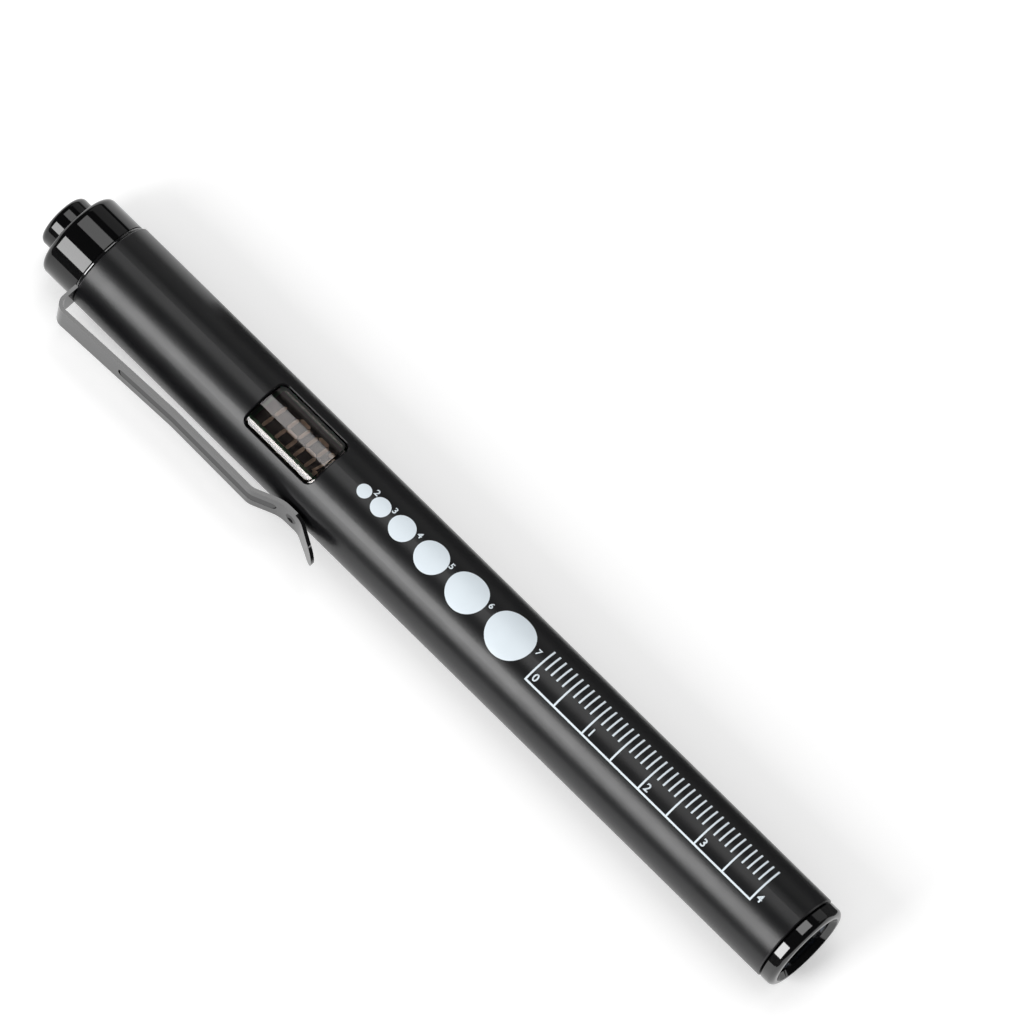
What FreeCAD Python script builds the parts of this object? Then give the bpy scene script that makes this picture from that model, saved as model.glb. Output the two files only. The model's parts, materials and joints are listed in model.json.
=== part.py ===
"""Rechargeable medical penlight, built piece by piece in millimetres.

The frame: the origin is the centre of the head's front face, +X points out of the lens
along the beam, +Z is the side that carries the printed pupil gauge, -Y the pocket clip
and +Y the charging port.  "Station" below means the distance behind the head's front
face, so a piece at station S has its rear end at x = -S.
"""
import FreeCAD, Part
import math
import os
import re

import Sketcher
from FreeCAD import Placement, Rotation, Vector

# ---------------------------------------------------------------- driving dimensions
SIZES = {
    # tube
    "barrel_dia": (13.0, "outside diameter of the tube"),
    "barrel_wall": (0.75, "tube wall"),
    "barrel_length": (123.6, "tube, end to end"),
    "barrel_chamfer": (0.15, "broken edge at both tube ends"),
    "slip_gap": (0.05, "radial clearance of what is fitted into a bore"),
    # head
    "bezel_step": (0.1, "step in from the tube's outside to the head ring's"),
    "bezel_length": (2.2, "visible length of the head ring"),
    "bezel_edge": (0.75, "rounded outer front edge of the head ring"),
    "bezel_rear_edge": (0.35, "broken edge of the head ring beside the tube"),
    "bezel_spigot_length": (4.4, "part of the head ring inside the tube"),
    "bezel_spigot_wall": (0.45, "wall of that spigot"),
    "bezel_face": (0.3, "flat front face of the head ring"),
    "bezel_seat": (0.35, "lip over the edge of the lens"),
    "bezel_recess": (0.8, "depth of the conical recess"),
    "bezel_lip": (0.25, "thickness of the lip that the lens seats on"),
    "lens_thickness": (1.2, "lens, front to back"),
    "lens_ring_section": (0.8, "section of the seal behind the lens"),
    "reflector_length": (6.2, "reflector, front to back"),
    "reflector_flange": (0.6, "flange at the reflector's mouth"),
    "reflector_rim": (0.7, "flat rim round the reflector's mouth"),
    "reflector_throat_dia": (3.8, "small opening round the emitter"),
    "reflector_skirt_dia": (7.2, "outside diameter at the reflector's back"),
    "reflector_curve": (9.0, "radius of the reflecting arc"),
    "reflector_step": (0.3, "flange standing out beyond the cup"),
    "emitter_side": (3.5, "side of the square emitter package"),
    "emitter_height": (0.7, "height of the package"),
    "emitter_dome_dia": (2.8, "diameter of the clear dome on the package"),
    "emitter_clearance": (0.12, "space between the package and the reflector"),
    "heat_sink_length": (4.5, "metal slug behind the emitter board"),
    # boards
    "board_thickness": (0.8, "every circuit board"),
    "board_rim_gap": (0.1, "radial clearance of the round boards in the tube"),
    # power
    "band_thickness": (0.7, "foam between the cell and the tube"),
    "battery_length": (44.0, "cell length without its nub"),
    "battery_nub_dia": (4.0, "positive nub"),
    "battery_nub_height": (0.8, "positive nub"),
    "battery_edge": (0.5, "rounded edge of the cell"),
    "contact_spring_length": (4.0, "spring between the heat sink and the cell"),
    "contact_spring_dia": (6.0, "mean diameter of that spring"),
    "contact_spring_wire": (0.5, "its wire"),
    "contact_spring_turns": (3.0, "its turns"),
    "band_width": (5.0, "each band that centres the cell"),
    "band_inset": (6.0, "from the end of the cell to a band"),
    "lead_dia": (0.6, "each insulated lead to the emitter"),
    "lead_spacing": (1.3, "between the two leads, centre to centre"),
    "lead_channel": (2.6, "width of the channel that the leads run in"),
    # carrier and boards inside the rear half
    "carrier_height": (2.4, "from the tube's bore up to the main board"),
    "main_board_inset": (0.25, "each long edge of the board inside the carrier's"),
    "carrier_ledge": (1.6, "width of the ledge under each long edge of the board"),
    "carrier_floor": (0.6, "carrier wall round the lightening pocket"),
    "carrier_end": (2.0, "solid carrier at each end of the pocket"),
    "chip_length": (4.6, "each chip, along the board"),
    "chip_width": (4.2, "each chip, across the board"),
    "chip_height": (0.9, "each chip"),
    "chip_gap": (1.6, "between one chip and the next"),
    "chip_margin": (1.2, "from the front end of the board to the first chip"),
    # window and display
    "window_length": (12.1, "opening along the tube"),
    "window_arc": (71.2, "opening round the tube, in degrees"),
    "window_turn": (5.6, "turn of the window from the printed line, in degrees"),
    "window_corner": (1.0, "corner radius of the opening"),
    "window_gap": (0.08, "line between the window and the tube"),
    "window_bevel": (0.17, "broken outer edge of the opening"),
    "window_rebate_depth": (0.65, "step round the window's raised face"),
    "window_rebate_width": (0.25, "the same step, from the window's edge"),
    "window_station": (33.85, "from the tube's rear end to the window's middle"),
    "display_length": (11.4, "display module along the tube"),
    "display_width": (5.4, "display module across"),
    "display_thickness": (1.4, "display module"),
    "display_depth": (2.35, "from the tube's bore down to the display's face"),
    "display_board_length": (13.6, "board under the display"),
    "display_board_inset": (0.74, "far edge of that board inside the tube's bore"),
    # charging port
    "port_station": (20.9, "from the tube's rear end to the port's middle"),
    "port_length": (9.3, "slot in the tube for the port"),
    "port_height": (3.55, "the same slot, across"),
    "port_clearance": (0.17, "between the slot and the socket's shell"),
    "port_shell_wall": (0.3, "sheet of the socket's shell"),
    "port_recess": (1.05, "from the tube's outside to the socket's mouth"),
    "port_depth": (5.65, "from the socket's mouth down to its floor"),
    "port_tongue_length": (6.65, "tongue, along the tube"),
    "port_tongue_thickness": (0.7, "tongue"),
    "port_tongue_recess": (0.7, "tongue's end below the mouth"),
    "port_contact_width": (0.25, "each contact strip"),
    "port_contact_pitch": (0.5, "from strip to strip"),
    "port_contact_count": (12.0, "strips on each side of the tongue"),
    "port_contact_height": (0.06, "strip standing proud of the tongue"),
    "port_contact_length": (3.6, "strip, along the way the plug goes"),
    "port_contact_inset": (0.4, "from the tongue's end to the strips"),
    "port_edge": (0.12, "rounded outer edge of the port slot and lamp hole"),
    # charging lamp
    "lamp_station": (36.2, "from the tube's rear end to the lamp hole"),
    "lamp_shift": (0.6, "lamp hole below the port's middle"),
    "lamp_hole_dia": (0.8, "hole in the tube"),
    "lamp_side": (1.0, "lamp on the board, side"),
    "lamp_height": (0.6, "lamp on the board, height"),
    "light_pipe_dia": (1.4, "clear rod from the lamp to the hole"),
    # tail
    "cap_step": (0.25, "step in from the tube's outside to the tail cap's"),
    "cap_length": (5.75, "visible length of the tail cap"),
    "cap_edge": (0.9, "rounded rear edge of the tail cap"),
    "cap_spigot_length": (7.2, "part of the cap that goes past its shoulder"),
    "cap_end_wall": (1.5, "wall that the button comes through"),
    "cap_wall": (1.0, "wall of the cap's part inside the tube"),
    "cap_hole_edge": (0.15, "broken edge of the button hole"),
    "seal_section": (0.7, "section of the cap's seal"),
    "seal_offset": (1.2, "from the tube's end to the seal's groove"),
    "button_dia": (7.6, "push button"),
    "button_proud": (2.65, "push button beyond the cap"),
    "button_edge": (0.8, "rounded edge of the button"),
    "button_gap": (0.05, "running clearance of the button"),
    "button_flange": (0.7, "thickness of the flange that keeps the button in"),
    "button_flange_gap": (0.1, "between that flange and the cap's bore"),
    "button_stem_dia": (3.0, "stem that works the switch"),
    "button_spring_dia": (5.6, "mean diameter of the return spring"),
    "button_spring_wire": (0.4, "its wire"),
    "button_spring_turns": (5.0, "its turns"),
    "switch_gap": (0.316, "between the switch body's corners and the cap's bore"),
    "switch_height": (4.5, "switch body, off its board"),
    "switch_well": (3.2, "depth of the well in the switch"),
    "plunger_proud": (1.2, "plunger beyond the switch body"),
    "plunger_length": (2.2, "plunger, end to end"),
    # pocket clip
    "clip_thickness": (0.5, "sheet of the clip"),
    "clip_width": (4.4, "clip strip"),
    "clip_ring_edge": (0.2, "rounded edges of the clip's ring"),
    "clip_root_step": (0.05, "ring's tab beyond the tail cap's outside"),
    "clip_rear_reach": (3.28, "outside of the arm at its rear bend, from the tube"),
    "clip_mid_reach": (2.43, "outside of the arm where it levels out, from the tube"),
    "clip_front_reach": (2.58, "outside of the arm before its front bend, from the tube"),
    "clip_level_station": (21.0, "from the clip's rear face to where it levels out"),
    "clip_bend_station": (35.2, "from the rear face to the front bend"),
    "clip_slope": (24.0, "angle of the arm towards the tube, in degrees"),
    "clip_contact_station": (40.9, "from the rear face to the contact dimple"),
    "clip_contact_height": (0.3, "sheet's inside above the tube at the dimple"),
    "clip_touch_gap": (0.05, "dimple to the tube at rest"),
    "clip_lift_station": (42.4, "from the rear face to where the tip turns out"),
    "clip_tip_station": (47.1, "from the rear face to the tip"),
    "clip_tip_reach": (3.3, "outside of the tip, from the tube"),
    "clip_tip_width": (3.2, "strip just before the rounded tip"),
    "clip_taper_station": (41.5, "from the rear face to where the strip narrows"),
    "clip_rear_bend": (1.6, "outside radius of the rear bend"),
    "clip_level_bend": (30.0, "radius where the arm levels out"),
    "clip_front_bend": (2.5, "outside radius of the front bend"),
    "clip_contact_bend": (5.0, "radius before the contact"),
    "clip_lift_bend": (3.0, "radius before the tip"),
    "bead_start": (11.6, "from the rear face to the pressed bead"),
    "bead_end": (38.6, "from the rear face to the bead's end"),
    "bead_width": (1.5, "pressed channel, a shallow V across the strip"),
    "bead_depth": (0.4, "the same channel, at its middle"),
    "bead_shoulder": (0.02, "the same channel, at its two edges"),
    "dimple_radius": (1.3, "ball that presses the contact dimple"),
    "dimple_floor": (0.3, "metal left at the middle of the dimple"),
}

doc = FreeCAD.newDocument("penlight")
sheet = doc.addObject("Spreadsheet::Sheet", "Sizes")
for row, (alias, (amount, note)) in enumerate(SIZES.items(), start=1):
    sheet.set(f"A{row}", alias)
    sheet.set(f"B{row}", str(amount))
    sheet.setAlias(f"B{row}", alias)
    sheet.set(f"C{row}", note)
doc.recompute()

X_AXIS, Y_AXIS, Z_AXIS = Vector(1, 0, 0), Vector(0, 1, 0), Vector(0, 0, 1)
TINY = 1e-6            # volumes and distances below this count as nothing
SAME_PLACE = 1e-4      # two edges this near are the same edge
CUT_BEYOND = "1"       # how far a cut runs past what it cuts

# ------------------------------------------------------- dimensions that follow others
BARREL_RADIUS = "(barrel_dia / 2)"
BORE_RADIUS = "(barrel_dia / 2 - barrel_wall)"
FITTED_RADIUS = f"({BORE_RADIUS} - slip_gap)"
ROUND_BOARD_RADIUS = f"({BORE_RADIUS} - board_rim_gap)"

BARREL_REAR = "(bezel_length + barrel_length)"
CAP_FRONT = f"({BARREL_REAR} + clip_thickness)"
CAP_REAR = f"({CAP_FRONT} + cap_length)"
BUTTON_REAR = f"({CAP_REAR} + button_proud)"

BEZEL_RADIUS = f"({BARREL_RADIUS} - bezel_step)"
CAP_RADIUS = f"({BARREL_RADIUS} - cap_step)"
CAP_BORE_RADIUS = f"({FITTED_RADIUS} - cap_wall)"
CLIP_ROOT = f"({CAP_RADIUS} + clip_root_step)"
BATTERY_RADIUS = f"({FITTED_RADIUS} - band_thickness)"

LENS_FRONT = "(bezel_recess + bezel_lip)"
LENS_REAR = f"({LENS_FRONT} + lens_thickness)"
LENS_POCKET_RADIUS = f"({FITTED_RADIUS} - bezel_spigot_wall)"
OPENING_RADIUS = f"({LENS_POCKET_RADIUS} - bezel_seat)"
REFLECTOR_FRONT = f"({LENS_REAR} + lens_ring_section)"
REFLECTOR_REAR = f"({REFLECTOR_FRONT} + reflector_length)"
LED_BOARD_REAR = f"({REFLECTOR_REAR} + board_thickness)"
HEAT_SINK_REAR = f"({LED_BOARD_REAR} + heat_sink_length)"
BATTERY_FRONT = f"({HEAT_SINK_REAR} + contact_spring_length)"
BATTERY_REAR = f"({BATTERY_FRONT} + battery_length)"
NUB_REAR = f"({BATTERY_REAR} + battery_nub_height)"
CONTACT_BOARD_REAR = f"({NUB_REAR} + board_thickness)"

SWITCH_BOARD_REAR = f"({CAP_FRONT} - cap_spigot_length)"
SWITCH_BOARD_FRONT = f"({SWITCH_BOARD_REAR} - board_thickness)"
MAIN_BOARD_LENGTH = f"({SWITCH_BOARD_FRONT} - {CONTACT_BOARD_REAR})"
MAIN_BOARD_BOTTOM = f"({FITTED_RADIUS} - carrier_height)"
MAIN_BOARD_TOP = f"({MAIN_BOARD_BOTTOM} - board_thickness)"
CARRIER_HALF = f"sqrt({FITTED_RADIUS} * {FITTED_RADIUS} - {MAIN_BOARD_BOTTOM} * {MAIN_BOARD_BOTTOM})"
MAIN_BOARD_HALF = f"({CARRIER_HALF} - main_board_inset)"
DISPLAY_BOTTOM = f"({BORE_RADIUS} - display_depth - display_thickness)"
SWITCH_REAR = f"({SWITCH_BOARD_REAR} + switch_height)"
PLUNGER_REAR = f"({SWITCH_REAR} + plunger_proud)"
FLANGE_REAR = f"({CAP_REAR} - cap_end_wall - button_gap)"
FLANGE_FRONT = f"({FLANGE_REAR} - button_flange)"

WINDOW_STATION = f"({BARREL_REAR} - window_station)"
PORT_STATION = f"({BARREL_REAR} - port_station)"
LAMP_STATION = f"({BARREL_REAR} - lamp_station)"
LEAD_RADIUS = f"({ROUND_BOARD_RADIUS} - lead_dia / 2)"
PORT_MOUTH = f"({BARREL_RADIUS} - port_recess)"
BOARD_TO_MOUTH = f"({PORT_MOUTH} + {MAIN_BOARD_TOP})"

nodes = []


def formula(text):
    """Turn a formula in the sheet's own names into an expression of the document."""
    return re.sub(r"[a-z_]+", lambda word: "Sizes." + word.group()
                  if word.group() in SIZES else word.group(), text)


def size(text):
    """Give the value of a formula as a number."""
    return float(sheet.evalExpression(formula(text)))


def keep(piece, label):
    """Name a finished sub-part, which is written to its own file."""
    piece.Label = label
    nodes.append(piece)
    return piece


def put(piece, along="0", across="0", up="0"):
    """Place a sub-part by formulas, so that it follows the sheet."""
    for axis, text in zip("xyz", (along, across, up)):
        if text != "0":
            piece.setExpression(f"Placement.Base.{axis}", formula(text))


# ------------------------------------------------------------------ sketch and feature
def new_sketch(body, name, role, turn=None):
    """Attach an empty sketch to one of the body's own origin planes."""
    plane = next(item for item in body.Origin.OriginFeatures if item.Role == role)
    sketch = body.newObject("Sketcher::SketchObject", name)
    sketch.AttachmentSupport = (plane, [""])
    sketch.MapMode = "FlatFace"
    if turn:
        sketch.AttachmentOffset = Placement(Vector(), Rotation(X_AXIS, size(turn)))
        sketch.setExpression("AttachmentOffset.Rotation.Angle", formula(turn))
    return sketch


def hold(sketch, kind, first, second, text):
    """Add a distance whose value is a formula."""
    index = sketch.addConstraint(Sketcher.Constraint(kind, *first, *second, size(text)))
    sketch.setExpression(f"Constraints[{index}]", formula(text))


def pin_point(sketch, edge, end, across, up):
    """Fix one end of an edge at two formulas measured from the origin."""
    for kind, axis, text in (("DistanceX", -2, across), ("DistanceY", -1, up)):
        if text == "0":
            sketch.addConstraint(Sketcher.Constraint("PointOnObject", edge, end, axis))
        elif size(text) < 0:
            hold(sketch, kind, (edge, end), (-1, 1), f"-({text})")
        else:
            hold(sketch, kind, (-1, 1), (edge, end), text)


def arc_between(start, end, radius):
    """An arc from start to end; a positive radius puts its centre on the left."""
    chord = end - start
    half = chord.Length / 2
    left = Vector(-chord.y, chord.x, 0).normalize()
    side = math.copysign(1, radius)
    rise = math.sqrt(radius * radius - half * half)
    centre = start + chord * 0.5 + left * rise * side
    middle = centre - left * abs(radius) * side
    return Part.Arc(start, middle, end)


def outline(sketch, corners):
    """Draw a closed outline; a corner's third item is the radius of the edge after it."""
    points = [Vector(size(corner[0]), size(corner[1]), 0) for corner in corners]
    count = len(points)
    for index, corner in enumerate(corners):
        start, end = points[index], points[(index + 1) % count]
        if len(corner) == 3:
            sketch.addGeometry(arc_between(start, end, size(corner[2])))
        else:
            sketch.addGeometry(Part.LineSegment(start, end))
    ends = []
    for index, corner in enumerate(corners):
        flipped = len(corner) == 3 and sketch.getPoint(index, 1).distanceToPoint(
            points[index]) > TINY
        ends.append((2, 1) if flipped else (1, 2))
    for index in range(count):
        after = (index + 1) % count
        sketch.addConstraint(Sketcher.Constraint(
            "Coincident", index, ends[index][1], after, ends[after][0]))
    for index, corner in enumerate(corners):
        pin_point(sketch, index, ends[index][0], corner[0], corner[1])
        if len(corner) == 3:
            text = corner[2] if size(corner[2]) > 0 else f"-({corner[2]})"
            number = sketch.addConstraint(Sketcher.Constraint("Radius", index, size(text)))
            sketch.setExpression(f"Constraints[{number}]", formula(text))


def rounded_outline(sketch, across, up, width, height, corner):
    """Draw a rectangle with rounded corners about the point (across, up)."""
    left, right = f"({across}) - ({width}) / 2", f"({across}) + ({width}) / 2"
    low, high = f"({up}) - ({height}) / 2", f"({up}) + ({height}) / 2"
    x0, x1, y0, y1, r = (size(text) for text in (left, right, low, high, corner))
    sides = [((x0 + r, y0), (x1 - r, y0)), ((x1, y0 + r), (x1, y1 - r)),
             ((x1 - r, y1), (x0 + r, y1)), ((x0, y1 - r), (x0, y0 + r))]
    for start, end in sides:
        sketch.addGeometry(Part.LineSegment(Vector(*start, 0), Vector(*end, 0)))
    centres = [(x1 - r, y0 + r), (x1 - r, y1 - r), (x0 + r, y1 - r), (x0 + r, y0 + r)]
    for index, centre in enumerate(centres):
        start = math.radians(-90 + 90 * index)
        circle = Part.Circle(Vector(*centre, 0), Z_AXIS, r)
        sketch.addGeometry(Part.ArcOfCircle(circle, start, start + math.pi / 2))
    for index in range(4):
        arc = index + 4
        sketch.addConstraint(Sketcher.Constraint("Tangent", index, 2, arc, 1))
        sketch.addConstraint(Sketcher.Constraint("Tangent", arc, 2, (index + 1) % 4, 1))
        sketch.addConstraint(Sketcher.Constraint(
            "Horizontal" if index % 2 == 0 else "Vertical", index))
    for arc in (5, 6, 7):
        sketch.addConstraint(Sketcher.Constraint("Equal", 4, arc))
    number = sketch.addConstraint(Sketcher.Constraint("Radius", 4, r))
    sketch.setExpression(f"Constraints[{number}]", formula(corner))
    hold(sketch, "DistanceX", (3, 1), (1, 1), width)
    hold(sketch, "DistanceY", (0, 1), (2, 1), height)
    for kind, edge, text in (("DistanceX", 1, right), ("DistanceY", 2, high)):
        if size(text) < 0:
            hold(sketch, kind, (edge, 1), (-1, 1), f"-({text})")
        else:
            hold(sketch, kind, (-1, 1), (edge, 1), text)


def ring_outline(sketch, across, up, radius):
    """Draw a circle about the point (across, up)."""
    sketch.addGeometry(Part.Circle(Vector(size(across), size(up), 0), Z_AXIS, size(radius)))
    number = sketch.addConstraint(Sketcher.Constraint("Radius", 0, size(radius)))
    sketch.setExpression(f"Constraints[{number}]", formula(radius))
    pin_point(sketch, 0, 3, across, up)


def new_body(label):
    """Start a body that becomes one sub-part."""
    return keep(doc.addObject("PartDesign::Body", label), label)


def revolve(body, corners, name="turning"):
    """Turn a profile of (along, radius) corners about the body's X axis."""
    sketch = new_sketch(body, name + "_profile", "XZ_Plane")
    outline(sketch, corners)
    feature = body.newObject("PartDesign::Revolution", name)
    feature.Profile = sketch
    feature.ReferenceAxis = (sketch, ["H_Axis"])
    feature.Angle = 360
    sketch.Visibility = False
    doc.recompute()
    return feature


def pad(body, sketch, length, reversed_way=False, both_ways=False, name="pad"):
    """Pad a sketch by a formula."""
    feature = body.newObject("PartDesign::Pad", name)
    feature.Profile = sketch
    feature.setExpression("Length", formula(length))
    feature.Reversed = reversed_way
    feature.Midplane = both_ways
    doc.recompute()
    return feature


def pocket(body, sketch, length=None, reversed_way=False, both_ways=False, name="pocket"):
    """Cut a sketch out of the body, right through it unless a length is given."""
    before = body.Shape.Volume
    feature = body.newObject("PartDesign::Pocket", name)
    feature.Profile = sketch
    if length:
        feature.setExpression("Length", formula(length))
    else:
        feature.Type = "ThroughAll"
    feature.Reversed = reversed_way
    feature.Midplane = both_ways
    doc.recompute()
    if not body.Shape.Volume < before - TINY:
        raise ValueError(f"{body.Label}: the cut {name} removes nothing")
    return feature


def circles_at(shape, along, radius):
    """Names of the full circles about the X axis at one station and radius."""
    found = []
    for index, edge in enumerate(shape.Edges, start=1):
        curve = edge.Curve
        if not isinstance(curve, Part.Circle) or abs(curve.Radius - radius) > SAME_PLACE:
            continue
        centre = curve.Center
        off_axis = math.hypot(centre.y, centre.z)
        if abs(centre.x - along) < SAME_PLACE and off_axis < SAME_PLACE:
            found.append(f"Edge{index}")
    return found


def rim_of_opening(shape, radius, along, reach, side=Y_AXIS):
    """Names of the edges of an opening in one side, on the outer skin."""
    found = []
    for index, edge in enumerate(shape.Edges, start=1):
        spots = edge.discretize(5)
        if all(abs(math.hypot(spot.y, spot.z) - radius) < SAME_PLACE
               and spot.dot(side) > radius / 2 and abs(spot.x - along) < reach
               for spot in spots):
            found.append(f"Edge{index}")
    return found


def soften(body, places, amount, kind="Fillet"):
    """Round or chamfer the turned edges at (along, radius) formulas."""
    names = [name for along, radius in places
             for name in circles_at(body.Tip.Shape, size(along), size(radius))]
    return soften_edges(body, names, amount, kind)


def soften_edges(body, names, amount, kind="Fillet"):
    """Round or chamfer named edges of the body's last feature."""
    base = body.Tip
    if not names:
        raise ValueError(f"{body.Label}: no edge to soften")
    feature = body.newObject("PartDesign::" + kind, kind.lower())
    feature.Base = (base, names)
    feature.setExpression("Radius" if kind == "Fillet" else "Size", formula(amount))
    doc.recompute()
    return feature


def turned(label, rear_station, corners):
    """A turned sub-part whose rear end lies at a station."""
    body = new_body(label)
    revolve(body, corners)
    put(body, along=f"-{rear_station}")
    return body


def disc(label, rear_station, radius, thickness):
    """A plain round plate on the axis."""
    return turned(label, rear_station, [
        ("0", "0"), ("0", radius), (thickness, radius), (thickness, "0")])


# ------------------------------------------------------------------------------- tube
def build_barrel():
    """The tube, with its window, port slot and lamp hole."""
    barrel = new_body("barrel")
    revolve(barrel, [("0", BORE_RADIUS), ("0", BARREL_RADIUS),
                     ("barrel_length", BARREL_RADIUS), ("barrel_length", BORE_RADIUS)])
    window = new_sketch(barrel, "window_outline", "XY_Plane", turn="window_turn")
    rounded_outline(window, "window_station", "0", "window_length",
                    f"2 * {BARREL_RADIUS} * sin(window_arc / 2 * 1deg)", "window_corner")
    pocket(barrel, window, reversed_way=True, name="window_opening")
    port = new_sketch(barrel, "port_outline", "XZ_Plane")
    rounded_outline(port, "port_station", "0", "port_length", "port_height",
                    "port_height / 2 - slip_gap")
    pocket(barrel, port, name="port_slot")
    lamp = new_sketch(barrel, "lamp_outline", "XZ_Plane")
    ring_outline(lamp, "lamp_station", "-lamp_shift", "lamp_hole_dia / 2")
    pocket(barrel, lamp, name="lamp_hole")
    for station, half in (("port_station", "port_length / 2"),
                          ("lamp_station", "lamp_hole_dia / 2")):
        rim = rim_of_opening(barrel.Tip.Shape, size(BARREL_RADIUS), size(station),
                             size(half) + size("port_edge"))
        soften_edges(barrel, rim, "port_edge")
    rim = rim_of_opening(barrel.Tip.Shape, size(BARREL_RADIUS), size("window_station"),
                         size("window_length / 2 + window_bevel"), Z_AXIS)
    soften_edges(barrel, rim, "window_bevel", "Chamfer")
    soften(barrel, [("0", BARREL_RADIUS), ("barrel_length", BARREL_RADIUS)],
           "barrel_chamfer", "Chamfer")
    put(barrel, along=f"-{BARREL_REAR}")


def window_block(name, inset, radius, corner):
    """A block of the window, its edge set in by a formula, up to a radius."""
    block = doc.addObject("PartDesign::Body", name)
    half = f"(window_length / 2 - {inset})"
    revolve(block, [(f"-{half}", BORE_RADIUS), (f"-{half}", radius),
                    (half, radius), (half, BORE_RADIUS)])
    chord = f"2 * {BARREL_RADIUS} * sin(window_arc / 2 * 1deg) - 2 * {inset}"
    blank = "barrel_dia * 2"
    frame = new_sketch(block, name + "_frame", "XY_Plane", turn="window_turn")
    rounded_outline(frame, "0", "0", f"2 * {half}", chord, corner)
    border(frame, blank)
    pocket(block, frame, reversed_way=True, name=name + "_edge")
    below = new_sketch(block, name + "_below", "XY_Plane", turn="window_turn")
    rectangle(below, f"-({blank})", f"-({blank})", blank, blank)
    pocket(block, below, name=name + "_underside")
    return block


def build_window_cover():
    """The curved smoked window: a plate in the opening with its face raised inside a step."""
    inset = "(window_gap + window_rebate_width)"
    cover = doc.addObject("Part::Fuse", "window_cover")
    cover.Base = window_block("window_plate", "window_gap",
                              f"({BARREL_RADIUS} - window_rebate_depth)", "window_corner")
    cover.Tool = window_block("window_face", inset, BARREL_RADIUS,
                              "window_corner - window_rebate_width")
    cover.Refine = True
    doc.recompute()
    put(cover, along=f"-{WINDOW_STATION}")
    keep(cover, "window_cover")


def rectangle(sketch, left, low, right, high):
    """Draw a plain rectangle between four formulas."""
    outline(sketch, [(left, low), (right, low), (right, high), (left, high)])


def border(sketch, side):
    """Add a square of half-width side round what a sketch already holds."""
    first = sketch.GeometryCount
    reach = size(side)
    corners = [Vector(-reach, -reach, 0), Vector(reach, -reach, 0),
               Vector(reach, reach, 0), Vector(-reach, reach, 0)]
    for index in range(4):
        sketch.addGeometry(Part.LineSegment(corners[index], corners[(index + 1) % 4]))
    for index in range(4):
        sketch.addConstraint(Sketcher.Constraint(
            "Coincident", first + index, 2, first + (index + 1) % 4, 1))
        sketch.addConstraint(Sketcher.Constraint(
            "Horizontal" if index % 2 == 0 else "Vertical", first + index))
    hold(sketch, "DistanceX", (-1, 1), (first + 1, 1), side)
    hold(sketch, "DistanceY", (-1, 1), (first + 2, 1), side)
    hold(sketch, "DistanceX", (first + 3, 1), (-1, 1), side)
    hold(sketch, "DistanceY", (first, 1), (-1, 1), side)


# ------------------------------------------------------------------------------- head
def build_head():
    """Head ring, lens, seal, reflector, emitter, its board and the heat sink."""
    total = "(bezel_spigot_length + bezel_length)"
    rim = f"({total} - bezel_edge)"
    shoulder = f"({BEZEL_RADIUS} - bezel_rear_edge)"
    turned("bezel_ring", "(bezel_length + bezel_spigot_length)", [
        ("0", LENS_POCKET_RADIUS), ("0", FITTED_RADIUS),
        ("bezel_spigot_length", FITTED_RADIUS), ("bezel_spigot_length", shoulder),
        ("bezel_spigot_length + bezel_rear_edge", BEZEL_RADIUS),
        (rim, BEZEL_RADIUS, "-bezel_edge"), (total, f"{BEZEL_RADIUS} - bezel_edge"),
        (total, f"{BEZEL_RADIUS} - bezel_edge - bezel_face"),
        (f"{total} - bezel_recess", OPENING_RADIUS),
        (f"{total} - {LENS_FRONT}", OPENING_RADIUS),
        (f"{total} - {LENS_FRONT}", LENS_POCKET_RADIUS)])
    inside = f"({LENS_POCKET_RADIUS} - slip_gap)"
    disc("lens", LENS_REAR, inside, "lens_thickness")

    seal = doc.addObject("Part::Torus", "lens_seal")
    seal.setExpression("Radius1", formula(f"{inside} - lens_ring_section / 2"))
    seal.setExpression("Radius2", formula("lens_ring_section / 2"))
    seal.Placement = Placement(Vector(), Rotation(Y_AXIS, 90))
    put(seal, along=f"-({LENS_REAR} + lens_ring_section / 2)")
    keep(seal, "lens_seal")

    pocket_radius = "(emitter_side / 2 * sqrt(2) + emitter_clearance)"
    pocket_depth = "(emitter_height + emitter_clearance)"
    flange = "(reflector_length - reflector_flange)"
    turned("reflector", REFLECTOR_REAR, [
        ("0", pocket_radius), ("0", "reflector_skirt_dia / 2"), (flange, f"{inside} - reflector_step"),
        (flange, inside), ("reflector_length", inside),
        ("reflector_length", f"{inside} - reflector_rim", "reflector_curve"),
        (pocket_depth, "reflector_throat_dia / 2"), (pocket_depth, pocket_radius)])

    emitter = new_body("led_emitter")
    package = new_sketch(emitter, "package_outline", "YZ_Plane")
    half = "emitter_side / 2"
    rectangle(package, f"-({half})", f"-({half})", half, half)
    pad(emitter, package, "emitter_height", name="package")
    dome = "emitter_dome_dia / 2"
    revolve(emitter, [("emitter_height / 2", "0"), ("emitter_height / 2", dome),
                      ("emitter_height", dome, f"-({dome})"),
                      (f"emitter_height + {dome}", "0")], name="dome")
    put(emitter, along=f"-{REFLECTOR_REAR}")

    disc("led_board", LED_BOARD_REAR, ROUND_BOARD_RADIUS, "board_thickness")
    sink = disc("heat_sink", HEAT_SINK_REAR, FITTED_RADIUS, "heat_sink_length")
    cut_lead_channel(sink, FITTED_RADIUS)


def cut_lead_channel(body, outer):
    """Cut the channel on the clip side that the emitter's leads run in."""
    channel = new_sketch(body, "lead_channel", "YZ_Plane")
    bottom = f"-({LEAD_RADIUS} - lead_dia / 2 - slip_gap)"
    rectangle(channel, f"-({outer} + {CUT_BEYOND})", "-lead_channel / 2", bottom, "lead_channel / 2")
    pocket(body, channel, reversed_way=True, name="lead_channel_cut")


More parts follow.
